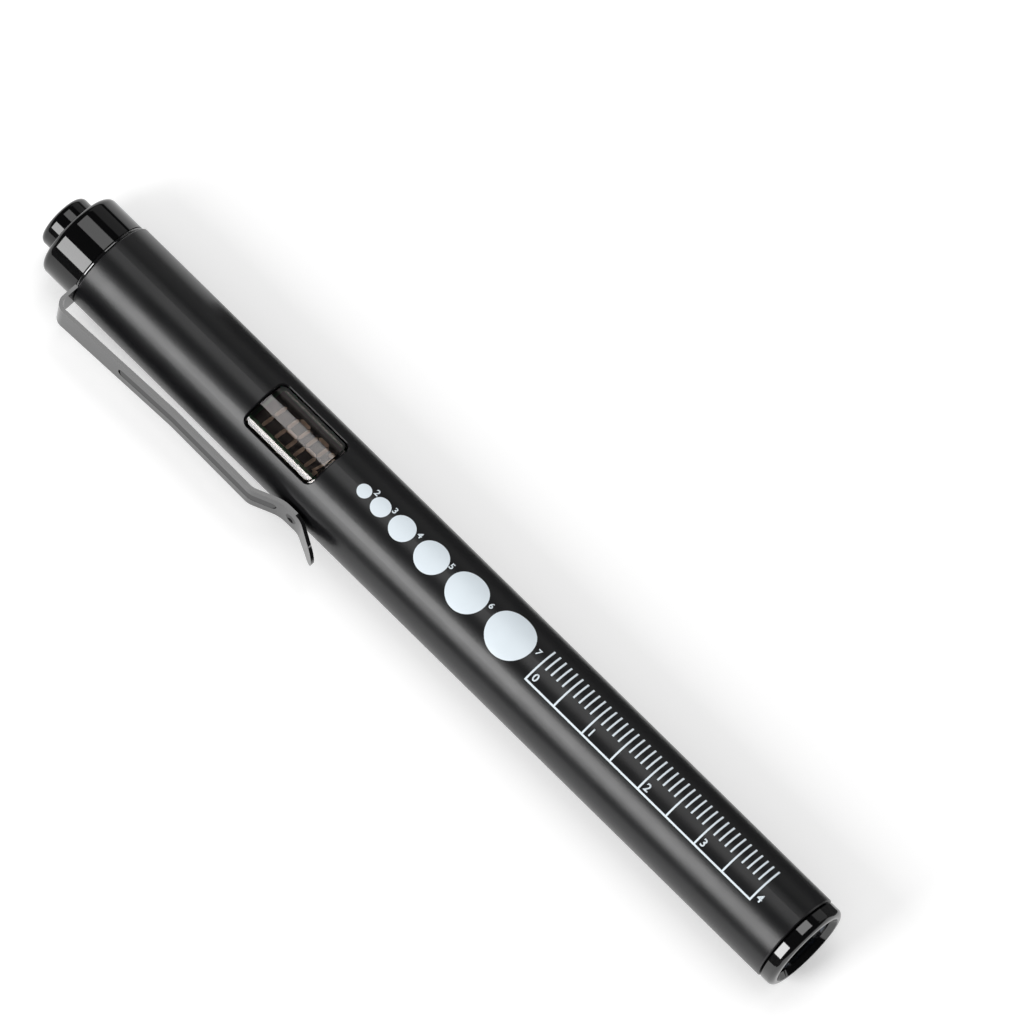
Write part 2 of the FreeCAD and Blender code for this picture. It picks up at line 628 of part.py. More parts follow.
# ------------------------------------------------------------------------------ power
def helix_point(angle, radius, advance):
    """Point and direction of a helix about X at an angle in radians."""
    point = Vector(advance * angle, radius * math.cos(angle), radius * math.sin(angle))
    way = Vector(advance, -radius * math.sin(angle), radius * math.cos(angle)).normalize()
    return point, way


def tangent_arc(start, way, end):
    """The arc that leaves start along way and reaches end."""
    chord = (end - start) * 0.5
    middle = start + chord
    lean = math.acos(max(-1.0, min(1.0, chord.dot(way) / chord.Length)))
    apex = start + way * (chord.Length / math.cos(lean))
    sag = chord.Length * math.tan(lean / 2)
    return Part.Arc(start, middle + (apex - middle).normalize() * sag, end).toShape()


def coil(label, rear_station, mean_dia, wire, turns, length):
    """A compression spring along X: one wire swept round biarcs of a quarter turn."""
    radius, wire_radius = size(mean_dia) / 2, size(wire) / 2
    full_turns, long = size(turns), size(length)
    advance = (long - 2 * wire_radius) / (full_turns * 2 * math.pi)
    steps = max(4, round(full_turns * 4))
    angles = [full_turns * 2 * math.pi * step / steps for step in range(steps + 1)]
    edges = []
    for first, last in zip(angles, angles[1:]):
        start, leaves = helix_point(first, radius, advance)
        end, arrives = helix_point(last, radius, advance)
        span, ways = end - start, leaves + arrives
        square = 2 * (1 - leaves.dot(arrives))
        linear = span.dot(ways)
        reach = (math.sqrt(linear ** 2 + square * span.dot(span)) - linear) / square
        joint = (start + leaves * reach + end - arrives * reach) * 0.5
        edges.append(tangent_arc(start, leaves, joint))
        back = tangent_arc(end, arrives * -1, joint)
        edges.append(back)
    spine = Part.Wire(Part.__sortEdges__(edges))
    start, way = helix_point(0, radius, advance)
    ring = Part.Wire(Part.Circle(start, way, wire_radius).toShape())
    shell = Part.BRepOffsetAPI.MakePipeShell(spine)
    shell.add(ring)
    shell.build()
    shell.makeSolid()
    piece = doc.addObject("Part::Feature", label)
    piece.Shape = shell.shape()
    piece.Placement = Placement(Vector(size(f"-{rear_station}") + wire_radius, 0, 0),
                                Rotation())
    gap = advance * 2 * math.pi - 2 * wire_radius
    print(f"{label}: least gap between turns {gap:.2f} mm")
    keep(piece, label)


def build_power():
    """The cell with its spring, bands and the leads that pass it."""
    coil("contact_spring", BATTERY_FRONT, "contact_spring_dia", "contact_spring_wire",
         "contact_spring_turns", "contact_spring_length")
    cell = turned("battery_cell", NUB_REAR, [
        ("0", "0"), ("0", "battery_nub_dia / 2"),
        ("battery_nub_height", "battery_nub_dia / 2"),
        ("battery_nub_height", BATTERY_RADIUS),
        ("battery_nub_height + battery_length", BATTERY_RADIUS),
        ("battery_nub_height + battery_length", "0")])
    soften(cell, [("battery_nub_height", BATTERY_RADIUS),
                  ("battery_nub_height + battery_length", BATTERY_RADIUS)],
           "battery_edge")
    stations = {"front": f"({BATTERY_FRONT} + band_inset + band_width)",
                "rear": f"({BATTERY_REAR} - band_inset)"}
    for name, station in stations.items():
        band = turned(f"battery_band_{name}", station, [
            ("0", BATTERY_RADIUS), ("0", FITTED_RADIUS), ("band_width", FITTED_RADIUS),
            ("band_width", BATTERY_RADIUS)])
        slit = new_sketch(band, "band_slit", "YZ_Plane")
        rectangle(slit, f"-({FITTED_RADIUS} + {CUT_BEYOND})", "-lead_channel / 2",
                  f"-{BATTERY_RADIUS} / 2", "lead_channel / 2")
        pocket(band, slit, reversed_way=True, name="band_opening")
    disc("contact_board", CONTACT_BOARD_REAR, ROUND_BOARD_RADIUS, "board_thickness")
    for name, side in (("positive", 1), ("negative", -1)):
        lead = doc.addObject("Part::Cylinder", f"led_lead_{name}")
        lead.setExpression("Radius", formula("lead_dia / 2"))
        lead.setExpression("Height", formula(f"{NUB_REAR} - {LED_BOARD_REAR}"))
        lead.Placement = Placement(Vector(), Rotation(Y_AXIS, 90))
        beside = "lead_spacing / 2"
        put(lead, along=f"-{NUB_REAR}", up=f"{side} * {beside}",
            across=f"-sqrt({LEAD_RADIUS} * {LEAD_RADIUS} - ({beside}) * ({beside}))")
        keep(lead, f"led_lead_{name}")


# ---------------------------------------------------------------- carrier and boards
def box(label, station, length, across, width, low, height):
    """A plain block centred on a station and on a place across, standing on low."""
    piece = doc.addObject("Part::Box", label)
    piece.setExpression("Length", formula(length))
    piece.setExpression("Width", formula(width))
    piece.setExpression("Height", formula(height))
    put(piece, along=f"-({station}) - ({length}) / 2",
        across=f"({across}) - ({width}) / 2", up=low)
    return piece


def build_carrier():
    """The moulded trough that carries the main board along the tube's clip side."""
    carrier = new_body("carrier")
    section = new_sketch(carrier, "trough_section", "YZ_Plane")
    outline(section, [(f"-{MAIN_BOARD_BOTTOM}", CARRIER_HALF, FITTED_RADIUS),
                      (f"-{FITTED_RADIUS}", "0", FITTED_RADIUS),
                      (f"-{MAIN_BOARD_BOTTOM}", f"-{CARRIER_HALF}")])
    pad(carrier, section, MAIN_BOARD_LENGTH, name="trough")
    inner = new_sketch(carrier, "lightening", "XZ_Plane")
    inset = "carrier_end"
    half = f"({MAIN_BOARD_HALF} - carrier_ledge)"
    rectangle(inner, inset, f"-{half}", f"{MAIN_BOARD_LENGTH} - {inset}", half)
    inner_radius = f"({FITTED_RADIUS} - carrier_floor)"
    pocket(carrier, inner, f"sqrt({inner_radius} * {inner_radius} - {half} * {half})",
           reversed_way=True, name="lightening_pocket")
    put(carrier, along=f"-{SWITCH_BOARD_FRONT}")


def build_boards():
    """Main board with its chips, display, charging lamp and light pipe."""
    middle = f"({CONTACT_BOARD_REAR} + {MAIN_BOARD_LENGTH} / 2)"
    board = box("main_board", middle, MAIN_BOARD_LENGTH,
                f"-({MAIN_BOARD_TOP} + board_thickness / 2)", "board_thickness",
                f"-{MAIN_BOARD_HALF}", f"2 * {MAIN_BOARD_HALF}")
    keep(board, "main_board")

    pitch = "(chip_length + chip_gap)"
    room = f"({WINDOW_STATION} - display_board_length / 2 - {CONTACT_BOARD_REAR} - chip_margin)"
    chips = []
    for number in range(math.floor(size(room) / size(pitch))):
        station = f"({CONTACT_BOARD_REAR} + chip_margin + chip_length / 2 + {number} * {pitch})"
        chips.append(box(f"chip_{number}", station, "chip_length",
                         f"-{MAIN_BOARD_TOP} + chip_height / 2", "chip_height",
                         "-chip_width / 2", "chip_width"))
    group = doc.addObject("Part::Compound", "board_chips")
    group.Links = chips
    keep(group, "board_chips")

    wall = f"sqrt({BORE_RADIUS} * {BORE_RADIUS} - {DISPLAY_BOTTOM} * {DISPLAY_BOTTOM})"
    reach = f"({wall} - display_board_inset + {MAIN_BOARD_TOP})"
    keep(box("display_board", WINDOW_STATION, "display_board_length",
             f"{reach} / 2 - {MAIN_BOARD_TOP}", reach, f"{DISPLAY_BOTTOM} - board_thickness",
             "board_thickness"), "display_board")
    keep(box("display_module", WINDOW_STATION, "display_length",
             f"-{MAIN_BOARD_TOP} + slip_gap + display_width / 2", "display_width",
             DISPLAY_BOTTOM, "display_thickness"), "display_module")

    keep(box("charge_lamp", LAMP_STATION, "lamp_side",
             f"-{MAIN_BOARD_TOP} + lamp_height / 2", "lamp_height",
             "-lamp_shift - lamp_side / 2", "lamp_side"), "charge_lamp")
    pipe = doc.addObject("Part::Cylinder", "light_pipe")
    pipe.setExpression("Radius", formula("light_pipe_dia / 2"))
    top = f"sqrt({FITTED_RADIUS} * {FITTED_RADIUS} - (lamp_shift + light_pipe_dia / 2)^2)"
    pipe.setExpression("Height", formula(f"{top} + {MAIN_BOARD_TOP} - lamp_height"))
    pipe.Placement = Placement(Vector(), Rotation(X_AXIS, -90))
    put(pipe, along=f"-{LAMP_STATION}", across=f"-{MAIN_BOARD_TOP} + lamp_height",
        up="-lamp_shift")
    keep(pipe, "light_pipe")


def build_port():
    """The charging socket: shell, moulding with its tongue, and contact strips."""
    outer_long = "(port_length - 2 * port_clearance)"
    outer_high = "(port_height - 2 * port_clearance)"
    inner_long = f"({outer_long} - 2 * port_shell_wall)"
    inner_high = f"({outer_high} - 2 * port_shell_wall)"
    shell = new_body("port_shell")
    outside = new_sketch(shell, "shell_outside", "XZ_Plane")
    rounded_outline(outside, "0", "0", outer_long, outer_high, f"{outer_high} / 2 - slip_gap")
    pad(shell, outside, BOARD_TO_MOUTH, reversed_way=True, name="shell_blank")
    inside = new_sketch(shell, "shell_inside", "XZ_Plane")
    rounded_outline(inside, "0", "0", inner_long, inner_high, f"{inner_high} / 2 - slip_gap")
    pocket(shell, inside, name="shell_cavity")
    put(shell, along=f"-{PORT_STATION}", across=f"-{MAIN_BOARD_TOP}")

    block = new_body("port_tongue")
    base = new_sketch(block, "block_outline", "XZ_Plane")
    rounded_outline(base, "0", "0", inner_long, inner_high, f"{inner_high} / 2 - slip_gap")
    pad(block, base, f"{BOARD_TO_MOUTH} - port_depth", reversed_way=True, name="block")
    tongue = new_sketch(block, "tongue_outline", "XZ_Plane")
    half_long, half_thick = "port_tongue_length / 2", "port_tongue_thickness / 2"
    rectangle(tongue, f"-({half_long})", f"-({half_thick})", half_long, half_thick)
    pad(block, tongue, f"{BOARD_TO_MOUTH} - port_tongue_recess", reversed_way=True,
        name="tongue")
    put(block, along=f"-{PORT_STATION}", across=f"-{MAIN_BOARD_TOP}")

    strips = []
    count = round(size("port_contact_count"))
    start = (f"({PORT_MOUTH} - port_tongue_recess - port_contact_inset"
             " - port_contact_length / 2)")
    for side, low in (("upper", f"({half_thick})"),
                      ("lower", f"(-({half_thick}) - port_contact_height)")):
        for number in range(count):
            place = f"({PORT_STATION} + ({number} - ({count} - 1) / 2) * port_contact_pitch)"
            strips.append(box(f"strip_{side}_{number}", place, "port_contact_width", start,
                              "port_contact_length", low, "port_contact_height"))
    group = doc.addObject("Part::Compound", "port_contacts")
    group.Links = strips
    keep(group, "port_contacts")


# ------------------------------------------------------------------------------- tail
def build_tail():
    """Tail cap, its seal, the push button and the switch it works."""
    spigot = "(cap_length + cap_spigot_length)"
    groove = "(cap_length + clip_thickness + seal_offset)"
    groove_end = f"({groove} + seal_section + 2 * slip_gap)"
    groove_floor = f"({BORE_RADIUS} - slip_gap / 2 - seal_section - slip_gap / 2)"
    cap = turned("tail_cap", CAP_REAR, [
        ("0", "button_dia / 2 + button_gap"), ("0", CAP_RADIUS),
        ("cap_length", CAP_RADIUS), ("cap_length", FITTED_RADIUS),
        (groove, FITTED_RADIUS), (groove, groove_floor), (groove_end, groove_floor),
        (groove_end, FITTED_RADIUS), (spigot, FITTED_RADIUS), (spigot, CAP_BORE_RADIUS),
        ("cap_end_wall", CAP_BORE_RADIUS),
        ("cap_end_wall", "button_dia / 2 + button_gap")])
    soften(cap, [("0", CAP_RADIUS)], "cap_edge")
    soften(cap, [("0", "button_dia / 2 + button_gap")], "cap_hole_edge", "Chamfer")

    seal = doc.addObject("Part::Torus", "tail_seal")
    seal.setExpression("Radius1", formula(f"{groove_floor} + slip_gap / 2 + seal_section / 2"))
    seal.setExpression("Radius2", formula("seal_section / 2"))
    seal.Placement = Placement(Vector(), Rotation(Y_AXIS, 90))
    put(seal, along=f"-{CAP_REAR} + {groove} + slip_gap + seal_section / 2")
    keep(seal, "tail_seal")

    under_flange = f"({BUTTON_REAR} - {FLANGE_REAR})"
    after_flange = f"({under_flange} + button_flange)"
    stem_end = f"({BUTTON_REAR} - {PLUNGER_REAR})"
    flange = f"({CAP_BORE_RADIUS} - button_flange_gap)"
    button = turned("push_button", BUTTON_REAR, [
        ("0", "0"), ("0", "button_dia / 2"), (under_flange, "button_dia / 2"),
        (under_flange, flange), (after_flange, flange),
        (after_flange, "button_stem_dia / 2"), (stem_end, "button_stem_dia / 2"),
        (stem_end, "0")])
    soften(button, [("0", "button_dia / 2")], "button_edge")

    coil("button_spring", FLANGE_FRONT, "button_spring_dia", "button_spring_wire",
         "button_spring_turns", f"{FLANGE_FRONT} - {SWITCH_REAR}")

    disc("switch_board", SWITCH_BOARD_REAR, ROUND_BOARD_RADIUS, "board_thickness")
    body = new_body("switch_body")
    square = new_sketch(body, "switch_outline", "YZ_Plane")
    half = f"(({CAP_BORE_RADIUS} - switch_gap) / sqrt(2))"
    rectangle(square, f"-({half})", f"-({half})", half, half)
    pad(body, square, "switch_height", name="switch_block")
    well = new_sketch(body, "well_outline", "YZ_Plane")
    ring_outline(well, "0", "0", "button_stem_dia / 2 + button_gap")
    pocket(body, well, "switch_well", reversed_way=True, name="well")
    put(body, along=f"-{SWITCH_REAR}")
    disc("switch_plunger", PLUNGER_REAR, "button_stem_dia / 2", "plunger_length")


# ------------------------------------------------------------------------------- clip
def rounded_path(points, radii):
    """Straight runs between points, joined by tangent arcs of the given radii."""
    edges, start = [], points[0]
    for before, corner, after, radius in zip(points, points[1:], points[2:], radii):
        incoming = (corner - before).normalize()
        outgoing = (after - corner).normalize()
        turn = incoming.getAngle(outgoing)
        back = radius * math.tan(turn / 2)
        enter, leave = corner - incoming * back, corner + outgoing * back
        inward = (outgoing - incoming).normalize()
        middle = corner + inward * (radius / math.cos(turn / 2) - radius)
        edges.append(Part.LineSegment(start, enter).toShape())
        edges.append(Part.Arc(enter, middle, leave).toShape())
        start = leave
    edges.append(Part.LineSegment(start, points[-1]).toShape())
    return edges


def strip_face(thickness, skip=0.0):
    """Side view of the clip's sheet: from its outside, less skip, down to a thickness."""
    rear = size(f"-{CAP_FRONT}")
    low = "(clip_contact_height + clip_thickness)"
    run = f"((clip_front_reach - {low}) / tan(clip_slope * 1deg))"
    places = [("0", f"{CLIP_ROOT} - {BARREL_RADIUS}"), ("0", "clip_rear_reach"),
              ("clip_level_station", "clip_mid_reach"),
              ("clip_bend_station", "clip_front_reach"),
              (f"clip_bend_station + {run}", low), ("clip_lift_station", low),
              ("clip_tip_station", "clip_tip_reach")]
    points = [Vector(rear + size(along), -size(f"{BARREL_RADIUS} + {reach}"), 0)
              for along, reach in places]
    bends = ["clip_rear_bend", "clip_level_bend", "clip_front_bend", "clip_contact_bend",
             "clip_lift_bend"]
    inner_bends = {"clip_level_bend", "clip_contact_bend", "clip_lift_bend"}
    outer, inner = [], []
    for depth, found in ((skip, outer), (skip + thickness, inner)):
        shifted = offset_points(points, depth)
        radii = [size(name) + (depth if name in inner_bends else -depth) for name in bends]
        found.extend(rounded_path(shifted, radii))
    first = Part.LineSegment(inner[0].Vertexes[0].Point, outer[0].Vertexes[0].Point)
    last = Part.LineSegment(outer[-1].Vertexes[-1].Point, inner[-1].Vertexes[-1].Point)
    rim = Part.Wire(Part.__sortEdges__(outer + [last.toShape()] + inner + [first.toShape()]))
    return Part.Face(rim)


def strip_channel(half, depth, skip=0.0):
    """A V across the strip, deepest in its middle, that follows the strip's side view."""
    shoulder = size("bead_shoulder")
    sections = []
    for level, amount in ((-half, shoulder), (0, depth), (half, shoulder)):
        section = strip_face(amount, skip).OuterWire
        section.translate(Vector(0, 0, level))
        sections.append(section)
    return Part.makeLoft(sections, True, True)


def offset_points(points, depth):
    """Move a run of points towards the tube by a depth, keeping it parallel."""
    moved = []
    for index, point in enumerate(points):
        before = points[index] - points[index - 1] if index else points[1] - points[0]
        after = (points[index + 1] - point if index + 1 < len(points)
                 else point - points[index - 1])
        sides = [Vector(-way.y, way.x, 0).normalize() for way in (before, after)]
        share = sides[0] + sides[1]
        moved.append(point + share * (2 * depth / share.dot(share)))
    return moved


def plan_prism(corners):
    """A tall prism over a plan in X and Z; a corner marked round is passed by an arc."""
    top = -size(BARREL_RADIUS) + size(CUT_BEYOND)
    edges, index = [], 0
    points = [Vector(x, top, z) for x, z, *_ in corners]
    marks = [bool(rest) for _, _, *rest in corners]
    count = len(points)
    while index < count:
        after = (index + 1) % count
        if marks[after]:
            beyond = (index + 2) % count
            edges.append(Part.Arc(points[index], points[after], points[beyond]).toShape())
            index += 2
        else:
            edges.append(Part.LineSegment(points[index], points[after]).toShape())
            index += 1
    face = Part.Face(Part.Wire(Part.__sortEdges__(edges)))
    return face.extrude(Vector(0, -2 * size(f"{BARREL_RADIUS} + clip_rear_reach"), 0))


def build_clip():
    """The clip's ring, held between cap and tube, and its sprung arm."""
    ring = new_body("clip_ring")
    revolve(ring, [("0", BORE_RADIUS), ("0", CAP_RADIUS),
                   ("clip_thickness", CAP_RADIUS), ("clip_thickness", BORE_RADIUS)])
    soften(ring, [("0", CAP_RADIUS), ("clip_thickness", CAP_RADIUS)], "clip_ring_edge")
    tab = new_sketch(ring, "tab_outline", "YZ_Plane")
    half = "clip_width / 2"
    rectangle(tab, f"-{CLIP_ROOT}", f"-({half})", f"-{BORE_RADIUS} / 2", half)
    pad(ring, tab, "clip_thickness", name="tab")
    opening = new_sketch(ring, "ring_opening", "YZ_Plane")
    ring_outline(opening, "0", "0", BORE_RADIUS)
    pocket(ring, opening, reversed_way=True, name="ring_bore")
    put(ring, along=f"-{CAP_FRONT}")

    rear = size(f"-{CAP_FRONT}")
    behind = rear - size(CUT_BEYOND)
    width, tip_width = size("clip_width") / 2, size("clip_tip_width") / 2
    sheet_side = strip_face(size("clip_thickness"))
    arm = sheet_side.extrude(Vector(0, 0, 2 * width))
    arm.translate(Vector(0, 0, -width))
    taper, tip = rear + size("clip_taper_station"), rear + size("clip_tip_station")
    shoulder = tip - tip_width
    plan = plan_prism([(behind, -width), (taper, -width), (shoulder, -tip_width),
                       (tip, 0, "round"), (shoulder, tip_width), (taper, width),
                       (behind, width)])
    arm = arm.common(plan)

    bead_half, depth = size("bead_width") / 2, size("bead_depth")
    start, end = rear + size("bead_start"), rear + size("bead_end")
    track = plan_prism([(start + bead_half, -bead_half), (end - bead_half, -bead_half),
                        (end, 0, "round"), (end - bead_half, bead_half),
                        (start + bead_half, bead_half), (start, 0, "round")])
    groove = strip_channel(bead_half, depth)
    rib = strip_channel(bead_half, depth, skip=size("clip_thickness"))
    arm = arm.cut(groove.common(track)).fuse(rib.common(track))

    ball = size("dimple_radius")
    contact = rear + size("clip_contact_station")
    touch = -(size(BARREL_RADIUS) + size("clip_touch_gap"))
    inside = touch - size("clip_contact_height") - size("clip_thickness") / 2
    bump = Part.makeSphere(ball, Vector(contact, touch - ball, 0))
    slab = Part.makeBox(4 * ball, abs(inside - touch), 4 * ball,
                        Vector(contact - 2 * ball, inside, -2 * ball))
    dent_radius = ball - size("clip_thickness") / 2
    dent_bottom = touch - size("dimple_floor")
    dent = Part.makeSphere(dent_radius, Vector(contact, dent_bottom - dent_radius, 0))
    arm = arm.fuse(bump.common(slab)).cut(dent).removeSplitter()
    piece = doc.addObject("Part::Feature", "clip_arm")
    piece.Shape = arm.Solids[0]
    keep(piece, "clip_arm")


# ------------------------------------------------------------------------------ build
build_barrel()
build_window_cover()
build_head()
build_power()
build_carrier()
build_boards()
build_port()
build_tail()
build_clip()
doc.recompute()

for item in doc.Objects:
    if "Invalid" in item.State or "Error" in item.State:
        raise RuntimeError(f"{item.Label} did not rebuild: {item.State}")
for piece in nodes:
    if piece.Shape.isNull() or not piece.Shape.isValid() or not piece.Shape.Solids:
        raise RuntimeError(f"{piece.Label} has no sound shape")

os.makedirs("parts", exist_ok=True)
for piece in nodes:
    piece.Shape.exportStep(f"parts/{piece.Label}.step")
    box_size = piece.Shape.BoundBox
    print(f"{piece.Label}: {len(piece.Shape.Solids)} solid(s), {piece.Shape.Volume:.2f} mm3, "
          f"x {box_size.XMin:.2f}..{box_size.XMax:.2f}")
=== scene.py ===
import json
import logging
import math
from dataclasses import dataclass, field
from enum import Enum

import bmesh
import bpy
from mathutils import Matrix, Vector


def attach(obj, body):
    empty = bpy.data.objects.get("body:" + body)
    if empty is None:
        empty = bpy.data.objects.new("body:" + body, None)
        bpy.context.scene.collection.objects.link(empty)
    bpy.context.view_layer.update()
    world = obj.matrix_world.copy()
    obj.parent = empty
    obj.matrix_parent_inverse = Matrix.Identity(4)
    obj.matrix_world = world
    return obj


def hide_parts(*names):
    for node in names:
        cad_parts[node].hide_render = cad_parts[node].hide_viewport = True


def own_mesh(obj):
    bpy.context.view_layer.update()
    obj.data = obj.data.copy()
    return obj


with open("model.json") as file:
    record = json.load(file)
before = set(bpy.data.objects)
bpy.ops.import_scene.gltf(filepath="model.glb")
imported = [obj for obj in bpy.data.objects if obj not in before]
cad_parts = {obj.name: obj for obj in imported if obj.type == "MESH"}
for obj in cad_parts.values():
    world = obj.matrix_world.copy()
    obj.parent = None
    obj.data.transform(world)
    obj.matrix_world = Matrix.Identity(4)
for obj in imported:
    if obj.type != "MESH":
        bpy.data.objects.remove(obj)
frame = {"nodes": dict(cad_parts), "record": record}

LOG = logging.getLogger("penlight")
MM = 0.001
TINY = 1e-6
CUT_TOLERANCE = 1e-8
MOTTLE_LOW, MOTTLE_HIGH = 0.3, 0.7
MOTTLE_DETAIL, GRAIN_DETAIL = 3.0, 2.0
MIX_FIRST, MIX_SECOND = 2, 3  # the Mix node's two number sockets
LAMP_WATTS = 4.0  # for one square metre at a brightness of one

Colour = tuple[float, float, float]
Point = tuple[float, float, float]


class Body(str, Enum):
    """The moving groups of the pen that a piece can ride on."""

    HOUSING = "housing"
    BUTTON = "button"
    CLIP = "clip"


class Slot(str, Enum):
    """The finishes that the pen's pieces are made in."""

    TUBE = "anodised_tube"
    CAP = "gloss_cap"
    HEAD = "gloss_head"
    BUTTON = "gloss_button"
    CLIP = "clip_metal"
    WINDOW = "smoked_window"
    LENS = "lens_glass"
    SEAL = "seal_rubber"
    MIRROR = "mirror_cup"
    EMITTER = "emitter_phosphor"
    WHITE_BOARD = "white_board"
    HEAT_SINK = "bare_aluminium"
    SPRING = "spring_wire"
    CELL = "cell_jacket"
    FOAM = "foam_band"
    BOARD = "circuit_board"
    RED_LEAD = "red_insulation"
    BLACK_LEAD = "black_insulation"
    CARRIER = "carrier_plastic"
    CHIP = "chip_resin"
    DISPLAY = "display_face"
    LAMP = "lamp_resin"
    LIGHT_PIPE = "clear_rod"
    PORT_STEEL = "port_steel"
    PORT_PLASTIC = "port_plastic"
    CONTACT = "gilt_contact"
    SWITCH = "switch_plastic"
    PLUNGER = "plunger_plastic"
    INK = "gauge_ink"
    SEGMENTS = "segment_paint"


# ------------------------------------------------------------------------ finishes
class NodeSheet:
    """The nodes of one material or world, added and joined a line at a time."""

    def __init__(self, owner: bpy.types.ID) -> None:
        """Clears the owner's nodes.

        Args:
            owner: the material or world whose nodes are written.
        """
        owner.use_nodes = True
        self.tree = owner.node_tree
        self.tree.nodes.clear()

    def add(self, kind: str, inputs: dict[str | int, object] | None = None,
            **settings: object) -> bpy.types.Node:
        """Adds a node.

        Args:
            kind: the node's type, without its ShaderNode prefix.
            inputs: values for its input sockets, by name or number.
            settings: values for its own properties.

        Returns:
            The new node.
        """
        node = self.tree.nodes.new("ShaderNode" + kind)
        for name, value in settings.items():
            setattr(node, name, value)
        for name, value in (inputs or {}).items():
            node.inputs[name].default_value = value
        return node

    def join(self, source: bpy.types.Node, output: str | int, target: bpy.types.Node,
             socket: str | int) -> None:
        """Joins one node's output to another's input.

        Args:
            source: the node that gives the value.
            output: its output socket, by name or number.
            target: the node that takes it.
            socket: its input socket, by name or number.
        """
        self.tree.links.new(source.outputs[output], target.inputs[socket])


def rgba(colour: Colour) -> tuple[float, float, float, float]:
    """Adds a full alpha to a colour.

    Args:
        colour: the colour, linear.

    Returns:
        The colour with an alpha of one.
    """
    return (*colour, 1.0)


@dataclass(frozen=True)
class Finish:
    """A solid finish: a base colour with a fine grain and a slow mottle.

    Lengths are in millimetres; colours are linear.
    """

    slot: Slot
    colour: Colour
    roughness: float
    metallic: float = 0.0
    ior: float = 1.5
    grain: float = 0.08
    grain_depth: float = 0.0004
    grain_stretch: Point = (1.0, 1.0, 1.0)
    mottle: float = 4.0
    colour_shift: float = 0.12
    roughness_shift: float = 0.05
    coat: float = 0.0

    def build(self) -> bpy.types.Material:
        """Makes the material.

        Returns:
            The new material, named after its slot.
        """
        material = bpy.data.materials.new(self.slot.value)
        sheet = NodeSheet(material)
        shader = sheet.add("BsdfPrincipled", {
            "Metallic": self.metallic, "IOR": self.ior, "Coat Weight": self.coat})
        output = sheet.add("OutputMaterial")
        sheet.join(shader, "BSDF", output, "Surface")
        place = sheet.add("TexCoord")
        slow = sheet.add("TexNoise", {
            "Scale": 1 / (self.mottle * MM), "Detail": MOTTLE_DETAIL})
        sheet.join(place, "Object", slow, "Vector")
        self.tint(sheet, shader, slow)
        self.shine(sheet, shader, slow)
        self.grain_bump(sheet, shader, place)
        return material

    def tint(self, sheet: NodeSheet, shader: bpy.types.Node, slow: bpy.types.Node) -> None:
        """Lets the slow mottle shift the colour a little.

        Args:
            sheet: the material's nodes.
            shader: its Principled node.
            slow: the mottle's noise.
        """
        light = tuple(min(1.0, c * (1 + self.colour_shift)) for c in self.colour)
        dark = tuple(c * (1 - self.colour_shift) for c in self.colour)
        ramp = sheet.add("ValToRGB")
        stops = ramp.color_ramp.elements
        stops[0].position, stops[1].position = MOTTLE_LOW, MOTTLE_HIGH
        stops[0].color, stops[1].color = rgba(dark), rgba(light)
        sheet.join(slow, "Fac", ramp, "Fac")
        sheet.join(ramp, "Color", shader, "Base Color")

    def shine(self, sheet: NodeSheet, shader: bpy.types.Node, slow: bpy.types.Node) -> None:
        """Lets the slow mottle shift the roughness a little.

        Args:
            sheet: the material's nodes.
            shader: its Principled node.
            slow: the mottle's noise.
        """
        span = sheet.add("MapRange", {
            "From Min": MOTTLE_LOW, "From Max": MOTTLE_HIGH,
            "To Min": self.roughness * (1 - self.roughness_shift),
            "To Max": self.roughness * (1 + self.roughness_shift)})
        sheet.join(slow, "Fac", span, "Value")
        sheet.join(span, "Result", shader, "Roughness")

    def grain_bump(self, sheet: NodeSheet, shader: bpy.types.Node,
                   place: bpy.types.Node) -> None:
        """Gives the surface its fine grain.

        Args:
            sheet: the material's nodes.
            shader: its Principled node.
            place: the Texture Coordinate node.
        """
        stretch = sheet.add("Mapping", {"Scale": self.grain_stretch})
        fine = sheet.add("TexNoise", {"Scale": 1 / (self.grain * MM), "Detail": GRAIN_DETAIL})
        bump = sheet.add("Bump", {"Strength": 1.0, "Distance": self.grain_depth * MM})
        sheet.join(place, "Object", stretch, "Vector")
        sheet.join(stretch, "Vector", fine, "Vector")
        sheet.join(fine, "Fac", bump, "Height")
        sheet.join(bump, "Normal", shader, "Normal")


@dataclass(frozen=True)
class ClearFinish(Finish):
    """A finish that lets light through, tinted by its colour."""

    def build(self) -> bpy.types.Material:
        """Makes the material with full transmission.

        Returns:
            The new material.
        """
        material = super().build()
        shader = next(n for n in material.node_tree.nodes if n.type == "BSDF_PRINCIPLED")
        shader.inputs["Transmission Weight"].default_value = 1.0
        return material


